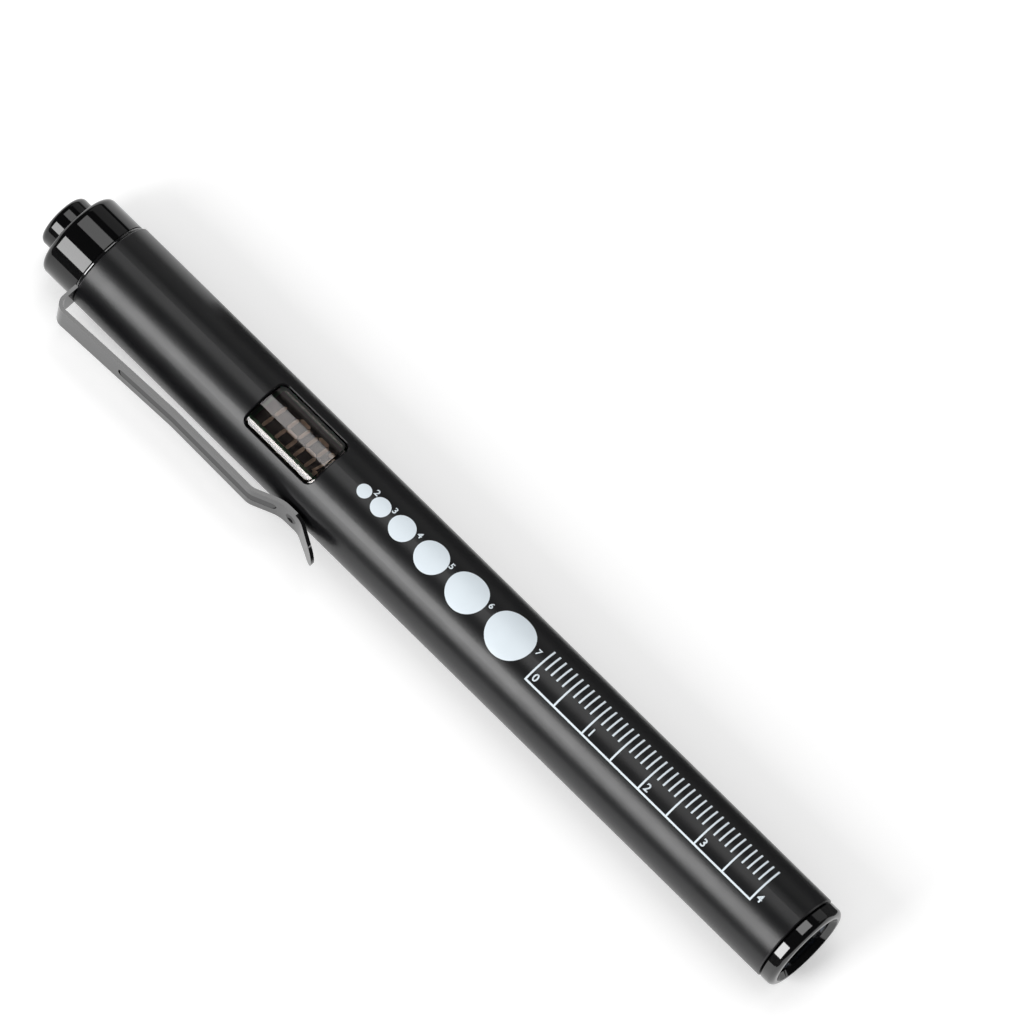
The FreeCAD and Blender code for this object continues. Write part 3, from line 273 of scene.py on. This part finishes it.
class FinishRack:
    """Every finish of the pen, made once and handed out by slot."""

    def __init__(self) -> None:
        """Makes all the materials."""
        black = (0.002, 0.002, 0.0022)
        gloss = {"roughness": 0.05, "ior": 1.5, "grain": 0.5, "grain_depth": 0.00002}
        moulded = {"roughness": 0.5, "grain": 0.12, "grain_depth": 0.002}
        turned = {"metallic": 1.0, "roughness": 0.28, "grain": 0.06, "grain_depth": 0.001,
                  "grain_stretch": (6.0, 1.0, 1.0)}
        finishes = [
            Finish(Slot.TUBE, (0.006, 0.006, 0.0068), 0.32, ior=1.5, grain=0.07,
                   grain_depth=0.0006),
            Finish(Slot.CAP, black, **gloss),
            Finish(Slot.HEAD, black, **(gloss | {"ior": 1.75})),
            Finish(Slot.BUTTON, black, **gloss),
            Finish(Slot.CLIP, (0.004, 0.004, 0.0044), 0.07, ior=1.9, grain=0.5,
                   grain_depth=0.00004),
            ClearFinish(Slot.WINDOW, (0.66, 0.59, 0.56), 0.02, ior=1.6, grain=1.0,
                        grain_depth=0.00001),
            ClearFinish(Slot.LENS, (0.35, 0.42, 0.55), 0.02, grain=1.0, grain_depth=0.00001),
            Finish(Slot.SEAL, (0.015, 0.015, 0.015), 0.6, grain=0.1, grain_depth=0.002),
            Finish(Slot.MIRROR, (0.85, 0.85, 0.86), 0.06, metallic=1.0, grain=0.3,
                   grain_depth=0.0001),
            Finish(Slot.EMITTER, (0.85, 0.72, 0.22), 0.3, grain=0.1, grain_depth=0.001),
            Finish(Slot.WHITE_BOARD, (0.82, 0.82, 0.80), 0.4, grain=0.1, grain_depth=0.001),
            Finish(Slot.HEAT_SINK, (0.75, 0.75, 0.76), **turned),
            Finish(Slot.SPRING, (0.6, 0.6, 0.6), **turned),
            Finish(Slot.CELL, (0.06, 0.14, 0.34), 0.35, grain=0.4, grain_depth=0.004),
            Finish(Slot.FOAM, (0.09, 0.09, 0.095), 0.9, grain=0.15, grain_depth=0.03),
            Finish(Slot.BOARD, (0.02, 0.12, 0.05), 0.35, grain=0.3, grain_depth=0.004),
            Finish(Slot.RED_LEAD, (0.45, 0.02, 0.02), 0.45, grain=0.2, grain_depth=0.002),
            Finish(Slot.BLACK_LEAD, (0.02, 0.02, 0.02), 0.45, grain=0.2, grain_depth=0.002),
            Finish(Slot.CARRIER, (0.05, 0.05, 0.05), **moulded),
            Finish(Slot.CHIP, (0.03, 0.03, 0.03), **moulded),
            Finish(Slot.DISPLAY, (0.012, 0.011, 0.011), 0.45, grain=0.2, grain_depth=0.001),
            Finish(Slot.LAMP, (0.8, 0.8, 0.68), 0.3, grain=0.1, grain_depth=0.001),
            ClearFinish(Slot.LIGHT_PIPE, (0.85, 0.86, 0.86), 0.08, grain=0.2,
                        grain_depth=0.0005),
            Finish(Slot.PORT_STEEL, (0.55, 0.55, 0.56), 0.25, metallic=1.0, grain=0.1,
                   grain_depth=0.001),
            Finish(Slot.PORT_PLASTIC, (0.02, 0.02, 0.02), **moulded),
            Finish(Slot.CONTACT, (0.80, 0.58, 0.24), 0.25, metallic=1.0, grain=0.1,
                   grain_depth=0.001),
            Finish(Slot.SWITCH, (0.05, 0.05, 0.05), **moulded),
            Finish(Slot.PLUNGER, (0.5, 0.08, 0.06), **moulded),
            Finish(Slot.INK, (0.70, 0.77, 0.82), 0.45, grain=0.1, grain_depth=0.0006,
                   colour_shift=0.02),
            Finish(Slot.SEGMENTS, (0.95, 0.80, 0.64), 0.5, grain=0.2, grain_depth=0.0006),
        ]
        self.materials = {finish.slot.value: finish.build() for finish in finishes}
        LOG.info("made %d finishes", len(self.materials))

    def dress(self, node: bpy.types.Object, slot: str) -> None:
        """Gives one piece of the pen its finish.

        Args:
            node: the piece's object.
            slot: the name of its finish.
        """
        node.data.materials.clear()
        node.data.materials.append(self.materials[slot])


# ------------------------------------------------------------------ mesh workshop
def to_object(bm: bmesh.types.BMesh, name: str,
              material: bpy.types.Material) -> bpy.types.Object:
    """Turns a finished bmesh into an object.

    Args:
        bm: the mesh, in metres in the pen's frame; it is freed.
        name: the object's name.
        material: its finish.

    Returns:
        The new object.
    """
    mesh = bpy.data.meshes.new(name)
    bm.to_mesh(mesh)
    bm.free()
    mesh.materials.append(material)
    made = bpy.data.objects.new(name, mesh)
    bpy.context.scene.collection.objects.link(made)
    return made


def add_piece(bm: bmesh.types.BMesh, name: str, material: bpy.types.Material,
              body: Body) -> None:
    """Turns a finished bmesh into a piece that rides on a body.

    Args:
        bm: the mesh, in metres in the pen's frame; it is freed.
        name: the piece's name.
        material: its finish.
        body: what it rides on.
    """
    piece = to_object(bm, name, material)
    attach(piece, body.value)
    LOG.info("%s: %d faces", name, len(piece.data.polygons))


def slice_across(bm: bmesh.types.BMesh, low: float, high: float, step: float) -> None:
    """Cuts a flat mesh into strips along X, so that it can bend round the tube.

    Args:
        bm: the mesh.
        low: the lowest Y to cut at, in metres.
        high: the highest Y to cut at.
        step: the distance between cuts.
    """
    for index in range(math.ceil((high - low) / step)):
        level = low + index * step
        bmesh.ops.bisect_plane(bm, geom=bm.verts[:] + bm.edges[:] + bm.faces[:],
                               plane_co=(0, level, 0), plane_no=(0, 1, 0),
                               dist=CUT_TOLERANCE)


@dataclass
class TubePrint:
    """Turns flat print into a thin film of ink round the tube.

    Flat print has X along the pen and Y as arc length from the gauge's line towards
    the charging port.  Sizes are in millimetres.
    """

    radius: float = 6.5
    film: float = 0.012
    sunk: float = 0.006
    strip: float = 0.3

    def wrap(self, bm: bmesh.types.BMesh) -> None:
        """Bends the flat print round the tube and gives it its thickness.

        Args:
            bm: the flat print, in metres.
        """
        spots = [vertex.co.y for vertex in bm.verts]
        slice_across(bm, min(spots), max(spots), self.strip * MM)
        bmesh.ops.triangulate(bm, faces=bm.faces[:])
        outer = (self.radius + self.film) * MM
        grown = bmesh.ops.extrude_face_region(bm, geom=bm.faces[:])
        top = {item for item in grown["geom"] if isinstance(item, bmesh.types.BMVert)}
        inner = (self.radius - self.sunk) * MM
        for vertex in bm.verts:
            turn = vertex.co.y / (self.radius * MM)
            reach = outer if vertex in top else inner
            vertex.co = Vector((vertex.co.x, reach * math.sin(turn), reach * math.cos(turn)))
        bmesh.ops.recalc_face_normals(bm, faces=bm.faces[:])


def add_patch(bm: bmesh.types.BMesh, left: float, right: float, low: float,
              high: float) -> None:
    """Adds one flat rectangle to a print.

    Args:
        bm: the print.
        left: its lowest X, in metres.
        right: its highest X.
        low: its lowest Y.
        high: its highest Y.
    """
    place = Matrix.Translation(((left + right) / 2, (low + high) / 2, 0)) @ Matrix.Diagonal(
        (right - left, high - low, 1, 1))
    bmesh.ops.create_grid(bm, x_segments=1, y_segments=1, size=0.5, matrix=place)


def add_words(bm: bmesh.types.BMesh, text: str, centre: tuple[float, float],
              height: float, weight: float) -> None:
    """Adds plain numerals to a flat print.

    Args:
        bm: the print.
        text: the numerals.
        centre: where their middle lies, in metres.
        height: how tall they are.
        weight: how much the strokes are thickened.
    """
    curve = bpy.data.curves.new("numeral", "FONT")
    curve.body, curve.size = text, 1.0
    curve.align_x, curve.resolution_u = "CENTER", 3
    curve.offset = weight
    writer = bpy.data.objects.new("numeral", curve)
    bpy.context.scene.collection.objects.link(writer)
    bpy.context.view_layer.update()
    flat = bpy.data.meshes.new_from_object(
        writer.evaluated_get(bpy.context.evaluated_depsgraph_get()))
    tall = [vertex.co.y for vertex in flat.vertices]
    wide = [vertex.co.x for vertex in flat.vertices]
    scale = height / (max(tall) - min(tall))
    middle = Vector(((max(wide) + min(wide)) / 2, (max(tall) + min(tall)) / 2, 0))
    flat.transform(Matrix.Translation((*centre, 0)) @ Matrix.Scale(scale, 4)
                   @ Matrix.Translation(-middle))
    bm.from_mesh(flat)
    bpy.data.objects.remove(writer)
    bpy.data.curves.remove(curve)
    bpy.data.meshes.remove(flat)


# ------------------------------------------------------------------- printed gauge
@dataclass(frozen=True)
class GaugeDot:
    """One pupil dot: its size, and where it and its number lie, in millimetres.

    Stations are measured backwards from the head's front, arcs from the gauge's line.
    """

    number: int
    diameter: float
    station: float
    number_station: float
    number_arc: float


@dataclass
class PupilGauge:
    """The printed pupil dots with their numbers, and the centimetre ruler."""

    tube: TubePrint = field(default_factory=TubePrint)
    dots: tuple[GaugeDot, ...] = (
        GaugeDot(2, 2.0, 80.35, 79.05, 1.10),
        GaugeDot(3, 2.75, 77.4, 75.8, 1.05),
        GaugeDot(4, 3.65, 73.5, 71.3, 1.05),
        GaugeDot(5, 4.7, 68.2, 65.6, 1.05),
        GaugeDot(6, 5.8, 61.8, 58.4, 1.00),
        GaugeDot(7, 6.8, 54.0, 49.9, 0.95),
    )
    dot_number_height: float = 0.95
    zero_station: float = 48.65
    centimetres: int = 4
    base_arc: float = -2.72
    tick_top_arc: float = 2.78
    short_tick_arc: float = -0.15
    line: float = 0.26
    ruler_number_height: float = 1.15
    ruler_number_arc: float = -1.7
    ruler_number_ahead: float = 0.85
    stroke_weight: float = 0.02

    def build(self, ink: bpy.types.Material) -> None:
        """Prints the dots, the ruler and both rows of numerals.

        Args:
            ink: the print's finish.
        """
        for name, printer in (("gauge_dots", self.print_dots),
                              ("gauge_numerals", self.print_dot_numbers),
                              ("ruler_lines", self.print_ruler),
                              ("ruler_numerals", self.print_ruler_numbers)):
            bm = bmesh.new()
            printer(bm)
            self.tube.wrap(bm)
            add_piece(bm, name, ink, Body.HOUSING)

    def print_dots(self, bm: bmesh.types.BMesh) -> None:
        """Adds the six pupil dots, flat."""
        for dot in self.dots:
            bmesh.ops.create_circle(
                bm, cap_ends=True, segments=64, radius=dot.diameter / 2 * MM,
                matrix=Matrix.Translation((-dot.station * MM, 0, 0)))

    def print_dot_numbers(self, bm: bmesh.types.BMesh) -> None:
        """Adds each dot's size in millimetres, flat."""
        for dot in self.dots:
            centre = (-dot.number_station * MM, dot.number_arc * MM)
            add_words(bm, str(dot.number), centre, self.dot_number_height * MM,
                      self.stroke_weight)

    def print_ruler(self, bm: bmesh.types.BMesh) -> None:
        """Adds the ruler's base line and ticks, flat, as one outline."""
        half = self.line / 2 * MM
        low, high = self.base_arc * MM, self.tick_top_arc * MM
        start = -self.zero_station * MM
        length = self.centimetres * 10
        add_patch(bm, start - half, start + length * MM + half, low - half, low + half)
        for step in range(length + 1):
            middle = start + step * MM
            foot = low + half if step % 5 == 0 else self.short_tick_arc * MM
            add_patch(bm, middle - half, middle + half, foot, high)

    def print_ruler_numbers(self, bm: bmesh.types.BMesh) -> None:
        """Adds the ruler's numerals, flat, just ahead of each centimetre."""
        for number in range(self.centimetres + 1):
            along = (-self.zero_station + number * 10 + self.ruler_number_ahead) * MM
            add_words(bm, str(number), (along, self.ruler_number_arc * MM),
                      self.ruler_number_height * MM, self.stroke_weight)


# ------------------------------------------------------------------ charge display
@dataclass
class ChargeDisplay:
    """The unlit segments on the display's face, seen through the smoked window.

    Lengths are in millimetres; the sign's ring and bar are shares of the stroke.
    """

    face_height: float = 3.4
    thickness: float = 0.03
    digit_height: float = 4.2
    digit_width: float = 1.95
    middle_arc: float = -0.25
    stroke: float = 0.5
    gap: float = 0.08
    lean: float = 0.08
    digit_stations: tuple[float, ...] = (92.68, 89.32)
    one_station: float = 95.95
    sign_station: float = 87.05
    sign_width: float = 0.5
    sign_ring: float = 0.8
    sign_bar: float = 0.7
    ring_segments: int = 16

    def build(self, paint: bpy.types.Material) -> None:
        """Makes the one, the two digits and the percent sign.

        Args:
            paint: the finish of the unlit segments.
        """
        bm = bmesh.new()
        for station in self.digit_stations:
            self.add_digit(bm, -station)
        self.add_upright_pair(bm, -self.one_station)
        self.add_percent(bm)
        for vertex in bm.verts:
            along, across = vertex.co.x, vertex.co.y
            along += self.lean * (across - self.middle_arc)
            vertex.co = Vector((along * MM, across * MM, self.face_height * MM))
        grown = bmesh.ops.extrude_face_region(bm, geom=bm.faces[:])
        lifted = [item for item in grown["geom"] if isinstance(item, bmesh.types.BMVert)]
        bmesh.ops.translate(bm, verts=lifted, vec=(0, 0, self.thickness * MM))
        bmesh.ops.recalc_face_normals(bm, faces=bm.faces[:])
        add_piece(bm, "display_segments", paint, Body.HOUSING)

    def add_segment(self, bm: bmesh.types.BMesh, centre: tuple[float, float],
                    length: float, upright: bool) -> None:
        """Adds one segment with pointed ends.

        Args:
            bm: the flat display, in millimetres.
            centre: the segment's middle.
            length: from point to point.
            upright: whether it runs across the pen.
        """
        tall = length - self.stroke
        size = (self.stroke, tall) if upright else (tall, self.stroke)
        place = Matrix.Translation((*centre, 0)) @ Matrix.Diagonal((*size, 1, 1))
        made = bmesh.ops.create_grid(bm, x_segments=1, y_segments=1, size=0.5, matrix=place)
        edges = {edge for vertex in made["verts"] for edge in vertex.link_edges}
        axis = 1 if upright else 0
        for edge in edges:
            ends = [vertex.co - Vector((*centre, 0)) for vertex in edge.verts]
            if abs(ends[0][axis] - ends[1][axis]) < TINY:
                side = math.copysign(1, ends[0][axis])
                tip = bmesh.utils.edge_split(edge, edge.verts[0], 0.5)[1]
                tip.co[axis] += side * self.stroke / 2

    def add_digit(self, bm: bmesh.types.BMesh, along: float) -> None:
        """Adds all seven segments of one digit.

        Args:
            bm: the flat display, in millimetres.
            along: the digit's middle along the pen.
        """
        half_width, half_height = self.digit_width / 2, self.digit_height / 2
        flat_length = self.digit_width - 2 * self.gap
        tall_length = half_height - 2 * self.gap
        for level in (-half_height, 0, half_height):
            self.add_segment(bm, (along, self.middle_arc + level), flat_length, False)
        for side in (-half_width, half_width):
            for level in (-half_height / 2, half_height / 2):
                self.add_segment(bm, (along + side, self.middle_arc + level), tall_length, True)

    def add_upright_pair(self, bm: bmesh.types.BMesh, along: float) -> None:
        """Adds the leading one, made of two upright segments."""
        half_height = self.digit_height / 2
        for level in (-half_height / 2, half_height / 2):
            self.add_segment(bm, (along, self.middle_arc + level),
                             half_height - 2 * self.gap, True)

    def add_percent(self, bm: bmesh.types.BMesh) -> None:
        """Adds the small percent sign after the digits."""
        half = self.sign_width / 2
        reach = self.digit_height / 2 - self.stroke
        for side, level in ((-half, reach), (half, -reach)):
            place = Matrix.Translation((-self.sign_station + side, self.middle_arc + level, 0))
            bmesh.ops.create_circle(bm, cap_ends=True, segments=self.ring_segments,
                                    radius=self.stroke * self.sign_ring, matrix=place)
        lean = Matrix.Rotation(math.atan2(2 * half, 2 * reach), 4, "Z")
        place = (Matrix.Translation((-self.sign_station, self.middle_arc, 0)) @ lean.inverted()
                 @ Matrix.Diagonal((self.stroke * self.sign_bar, 2 * reach, 1, 1)))
        bmesh.ops.create_grid(bm, x_segments=1, y_segments=1, size=0.5, matrix=place)


# ------------------------------------------------------------------- button spring
@dataclass(frozen=True)
class ButtonSpring:
    """The button's coil, as a rigid copy that rides on the housing.

    Lengths are in millimetres.
    """

    node: str = "button_spring"
    joint: str = "button_press"
    fixed_end: float = -123.6
    fitted_length: float = 6.2
    travel: float = 1.5

    def build(self) -> None:
        """Makes a rigid copy of the coil on the housing, in place of the imported one, which it
        hides.
        """
        coil = frame["nodes"][self.node]
        mesh = coil.data.copy()
        mesh.transform(coil.matrix_world)
        piece = bpy.data.objects.new("button_spring_coil", mesh)
        bpy.context.scene.collection.objects.link(piece)
        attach(piece, Body.HOUSING.value)
        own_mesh(piece)
        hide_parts(self.node)
        LOG.info("%s squashes with %s", piece.name, self.joint)


# -------------------------------------------------------------------------- studio
@dataclass(frozen=True)
class LightBox:
    """One softbox: its middle, the side it faces from, its size and its brightness."""

    name: str
    from_vertical: float
    distance: float
    width: float
    length: float
    brightness: float

    def build(self, target: Vector) -> None:
        """Hangs the softbox over the pen.

        Args:
            target: the point that it faces.
        """
        turn = math.radians(self.from_vertical)
        away = Vector((0, math.sin(turn), math.cos(turn)))
        lamp = bpy.data.lights.new(self.name, "AREA")
        lamp.shape, lamp.size, lamp.size_y = "RECTANGLE", self.length, self.width
        lamp.energy = LAMP_WATTS * self.brightness * self.length * self.width
        holder = bpy.data.objects.new(self.name, lamp)
        bpy.context.scene.collection.objects.link(holder)
        across = Vector((1, 0, 0))
        up = away.cross(across)
        pose = Matrix((across, up, away)).transposed().to_4x4()
        holder.matrix_world = Matrix.Translation(target + away * self.distance) @ pose
        holder.visible_camera = False
        LOG.info("light %s: %.1f W", self.name, lamp.energy)


@dataclass(frozen=True)
class DarkCard:
    """A dark card beside the tube: its ends, its place aside, its edges and its grey."""

    name: str
    rear: float
    front: float
    aside: float
    bottom: float
    top: float
    grey: float

    def stand(self) -> None:
        """Stands the card where only the pen's mirror sides see it."""
        middle = ((self.rear + self.front) / 2, self.aside, (self.bottom + self.top) / 2)
        place = (Matrix.Translation(middle) @ Matrix.Rotation(math.pi / 2, 4, "X")
                 @ Matrix.Diagonal((self.front - self.rear, self.top - self.bottom, 1, 1)))
        bm = bmesh.new()
        bmesh.ops.create_grid(bm, x_segments=1, y_segments=1, size=0.5, matrix=place)
        material = bpy.data.materials.new(self.name)
        sheet = NodeSheet(material)
        paper = sheet.add("BsdfDiffuse", {"Color": rgba((self.grey,) * 3)})
        output = sheet.add("OutputMaterial")
        sheet.join(paper, "BSDF", output, "Surface")
        card = to_object(bm, self.name, material)
        card.visible_camera = card.visible_diffuse = card.visible_shadow = False
        card.visible_transmission = False


@dataclass
class Studio:
    """White table, softboxes, dark cards, pale surroundings and the camera.

    Lengths are in metres, angles in degrees.
    """

    floor_level: float = -0.0065
    floor_radius: float = 3.0
    floor_segments: int = 96
    floor_white: float = 0.86
    floor_glow: float = 0.27
    world_white: float = 1.0
    world_dim: float = 0.03
    world_fill: float = 0.60
    white_below: float = 2.5
    dim_above: float = 4.5
    boxes: tuple[LightBox, ...] = (
        LightBox("side_box", -61.0, 0.8, 0.504, 0.30, 7.5),
        LightBox("top_box", 12.0, 0.9, 0.53, 0.29, 1.85),
        LightBox("far_box", 62.0, 0.8, 0.44, 1.2, 0.25),
    )
    target: Vector = field(default_factory=lambda: Vector((-0.2403, 0, 0)))
    cards: tuple[DarkCard, ...] = (
        DarkCard("port_side_card", -0.1153, 0.0097, 0.018, -0.0065, 0.0085, 0.12),
        DarkCard("clip_side_card", -0.1453, 0.0097, -0.017, 0.0, 0.0062, 0.15),
    )
    camera_place: Point = (0.26234, -0.53839, 1.51464)
    camera_azimuth: float = 30.8053
    camera_elevation: float = 66.9862
    camera_roll: float = 15.6227
    focal_pixels: float = 13000.0
    picture_pixels: float = 1024.0
    sensor: float = 36.0
    clip_near: float = 0.01
    clip_far: float = 20.0

    def build(self) -> None:
        """Sets up floor, surroundings, lights and camera."""
        self.lay_floor()
        for card in self.cards:
            card.stand()
        self.paint_surroundings()
        for box in self.boxes:
            box.build(self.target)
        self.set_camera()
        bpy.context.scene.view_settings.view_transform = "Standard"

    def lay_floor(self) -> None:
        """Lays the white table under the pen."""
        bm = bmesh.new()
        bmesh.ops.create_circle(bm, cap_ends=True, segments=self.floor_segments,
                                radius=self.floor_radius,
                                matrix=Matrix.Translation((0, 0, self.floor_level)))
        to_object(bm, "table", self.table_finish())

    def table_finish(self) -> bpy.types.Material:
        """Makes the table's white, with a glow that only looks and reflections see.

        Returns:
            The table's material.
        """
        material = bpy.data.materials.new("white_table")
        sheet = NodeSheet(material)
        white = sheet.add("BsdfDiffuse", {"Color": rgba((self.floor_white,) * 3)})
        glow = sheet.add("Emission")
        rays = sheet.add("LightPath")
        seen = sheet.add("Math", operation="MAXIMUM")
        seen_through = sheet.add("Math", operation="MAXIMUM")
        level = sheet.add("Math", {1: self.floor_glow}, operation="MULTIPLY")
        both = sheet.add("AddShader")
        output = sheet.add("OutputMaterial")
        sheet.join(rays, "Is Camera Ray", seen, 0)
        sheet.join(rays, "Is Glossy Ray", seen, 1)
        sheet.join(seen, 0, seen_through, 0)
        sheet.join(rays, "Is Transmission Ray", seen_through, 1)
        sheet.join(seen_through, 0, level, 0)
        sheet.join(level, 0, glow, "Strength")
        sheet.join(white, "BSDF", both, 0)
        sheet.join(glow, "Emission", both, 1)
        sheet.join(both, "Shader", output, "Surface")
        return material

    def paint_surroundings(self) -> None:
        """Paints the room: white up to just over the table, dim above it."""
        world = bpy.data.worlds.new("room")
        bpy.context.scene.world = world
        sheet = NodeSheet(world)
        place = sheet.add("TexCoord")
        split = sheet.add("SeparateXYZ")
        sheet.join(place, "Generated", split, "Vector")
        walls = sheet.add("MapRange", {
            "From Min": math.sin(math.radians(self.white_below)),
            "From Max": math.sin(math.radians(self.dim_above)),
            "To Min": self.world_white, "To Max": self.world_dim})
        sheet.join(split, "Z", walls, "Value")
        rays = sheet.add("LightPath")
        level = sheet.add("Mix", data_type="FLOAT")
        level.inputs[MIX_SECOND].default_value = self.world_fill
        sheet.join(rays, "Is Diffuse Ray", level, 0)
        sheet.join(walls, "Result", level, MIX_FIRST)
        room = sheet.add("Background", {"Color": rgba((1.0, 1.0, 1.0))})
        output = sheet.add("OutputWorld")
        sheet.join(level, 0, room, "Strength")
        sheet.join(room, "Background", output, "Surface")

    def set_camera(self) -> None:
        """Places the camera where the photograph was taken from."""
        azimuth, elevation, roll = (math.radians(angle) for angle in (
            self.camera_azimuth, self.camera_elevation, self.camera_roll))
        back = Vector((math.sin(azimuth) * math.cos(elevation),
                       -math.cos(azimuth) * math.cos(elevation), math.sin(elevation)))
        right = Vector((0, 0, 1)).cross(back).normalized()
        up = back.cross(right)
        across = right * math.cos(roll) + up * math.sin(roll)
        upright = up * math.cos(roll) - right * math.sin(roll)
        lens = bpy.data.cameras.new("camera")
        lens.sensor_width = self.sensor
        lens.lens = self.focal_pixels / self.picture_pixels * self.sensor
        lens.clip_start, lens.clip_end = self.clip_near, self.clip_far
        camera = bpy.data.objects.new("camera", lens)
        bpy.context.scene.collection.objects.link(camera)
        pose = Matrix((across, upright, back)).transposed().to_4x4()
        camera.matrix_world = Matrix.Translation(self.camera_place) @ pose
        bpy.context.scene.camera = camera


# ---------------------------------------------------------------------------- build
def dress_nodes(rack: FinishRack) -> None:
    """Gives every CAD piece the finish that the record names for it.

    Args:
        rack: the pen's finishes.
    """
    for part in frame["record"]["subparts"]:
        rack.dress(frame["nodes"][part["node"]], part["material_slot"])
        LOG.info("%s: %s", part["node"], part["material_slot"])


def main() -> None:
    """Builds the pen's looks and the studio."""
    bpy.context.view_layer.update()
    rack = FinishRack()
    dress_nodes(rack)
    PupilGauge().build(rack.materials[Slot.INK.value])
    ChargeDisplay().build(rack.materials[Slot.SEGMENTS.value])
    ButtonSpring().build()
    Studio().build()


if __name__ == "__main__":
    logging.basicConfig(level=logging.INFO, format="%(name)s %(message)s")
    main()
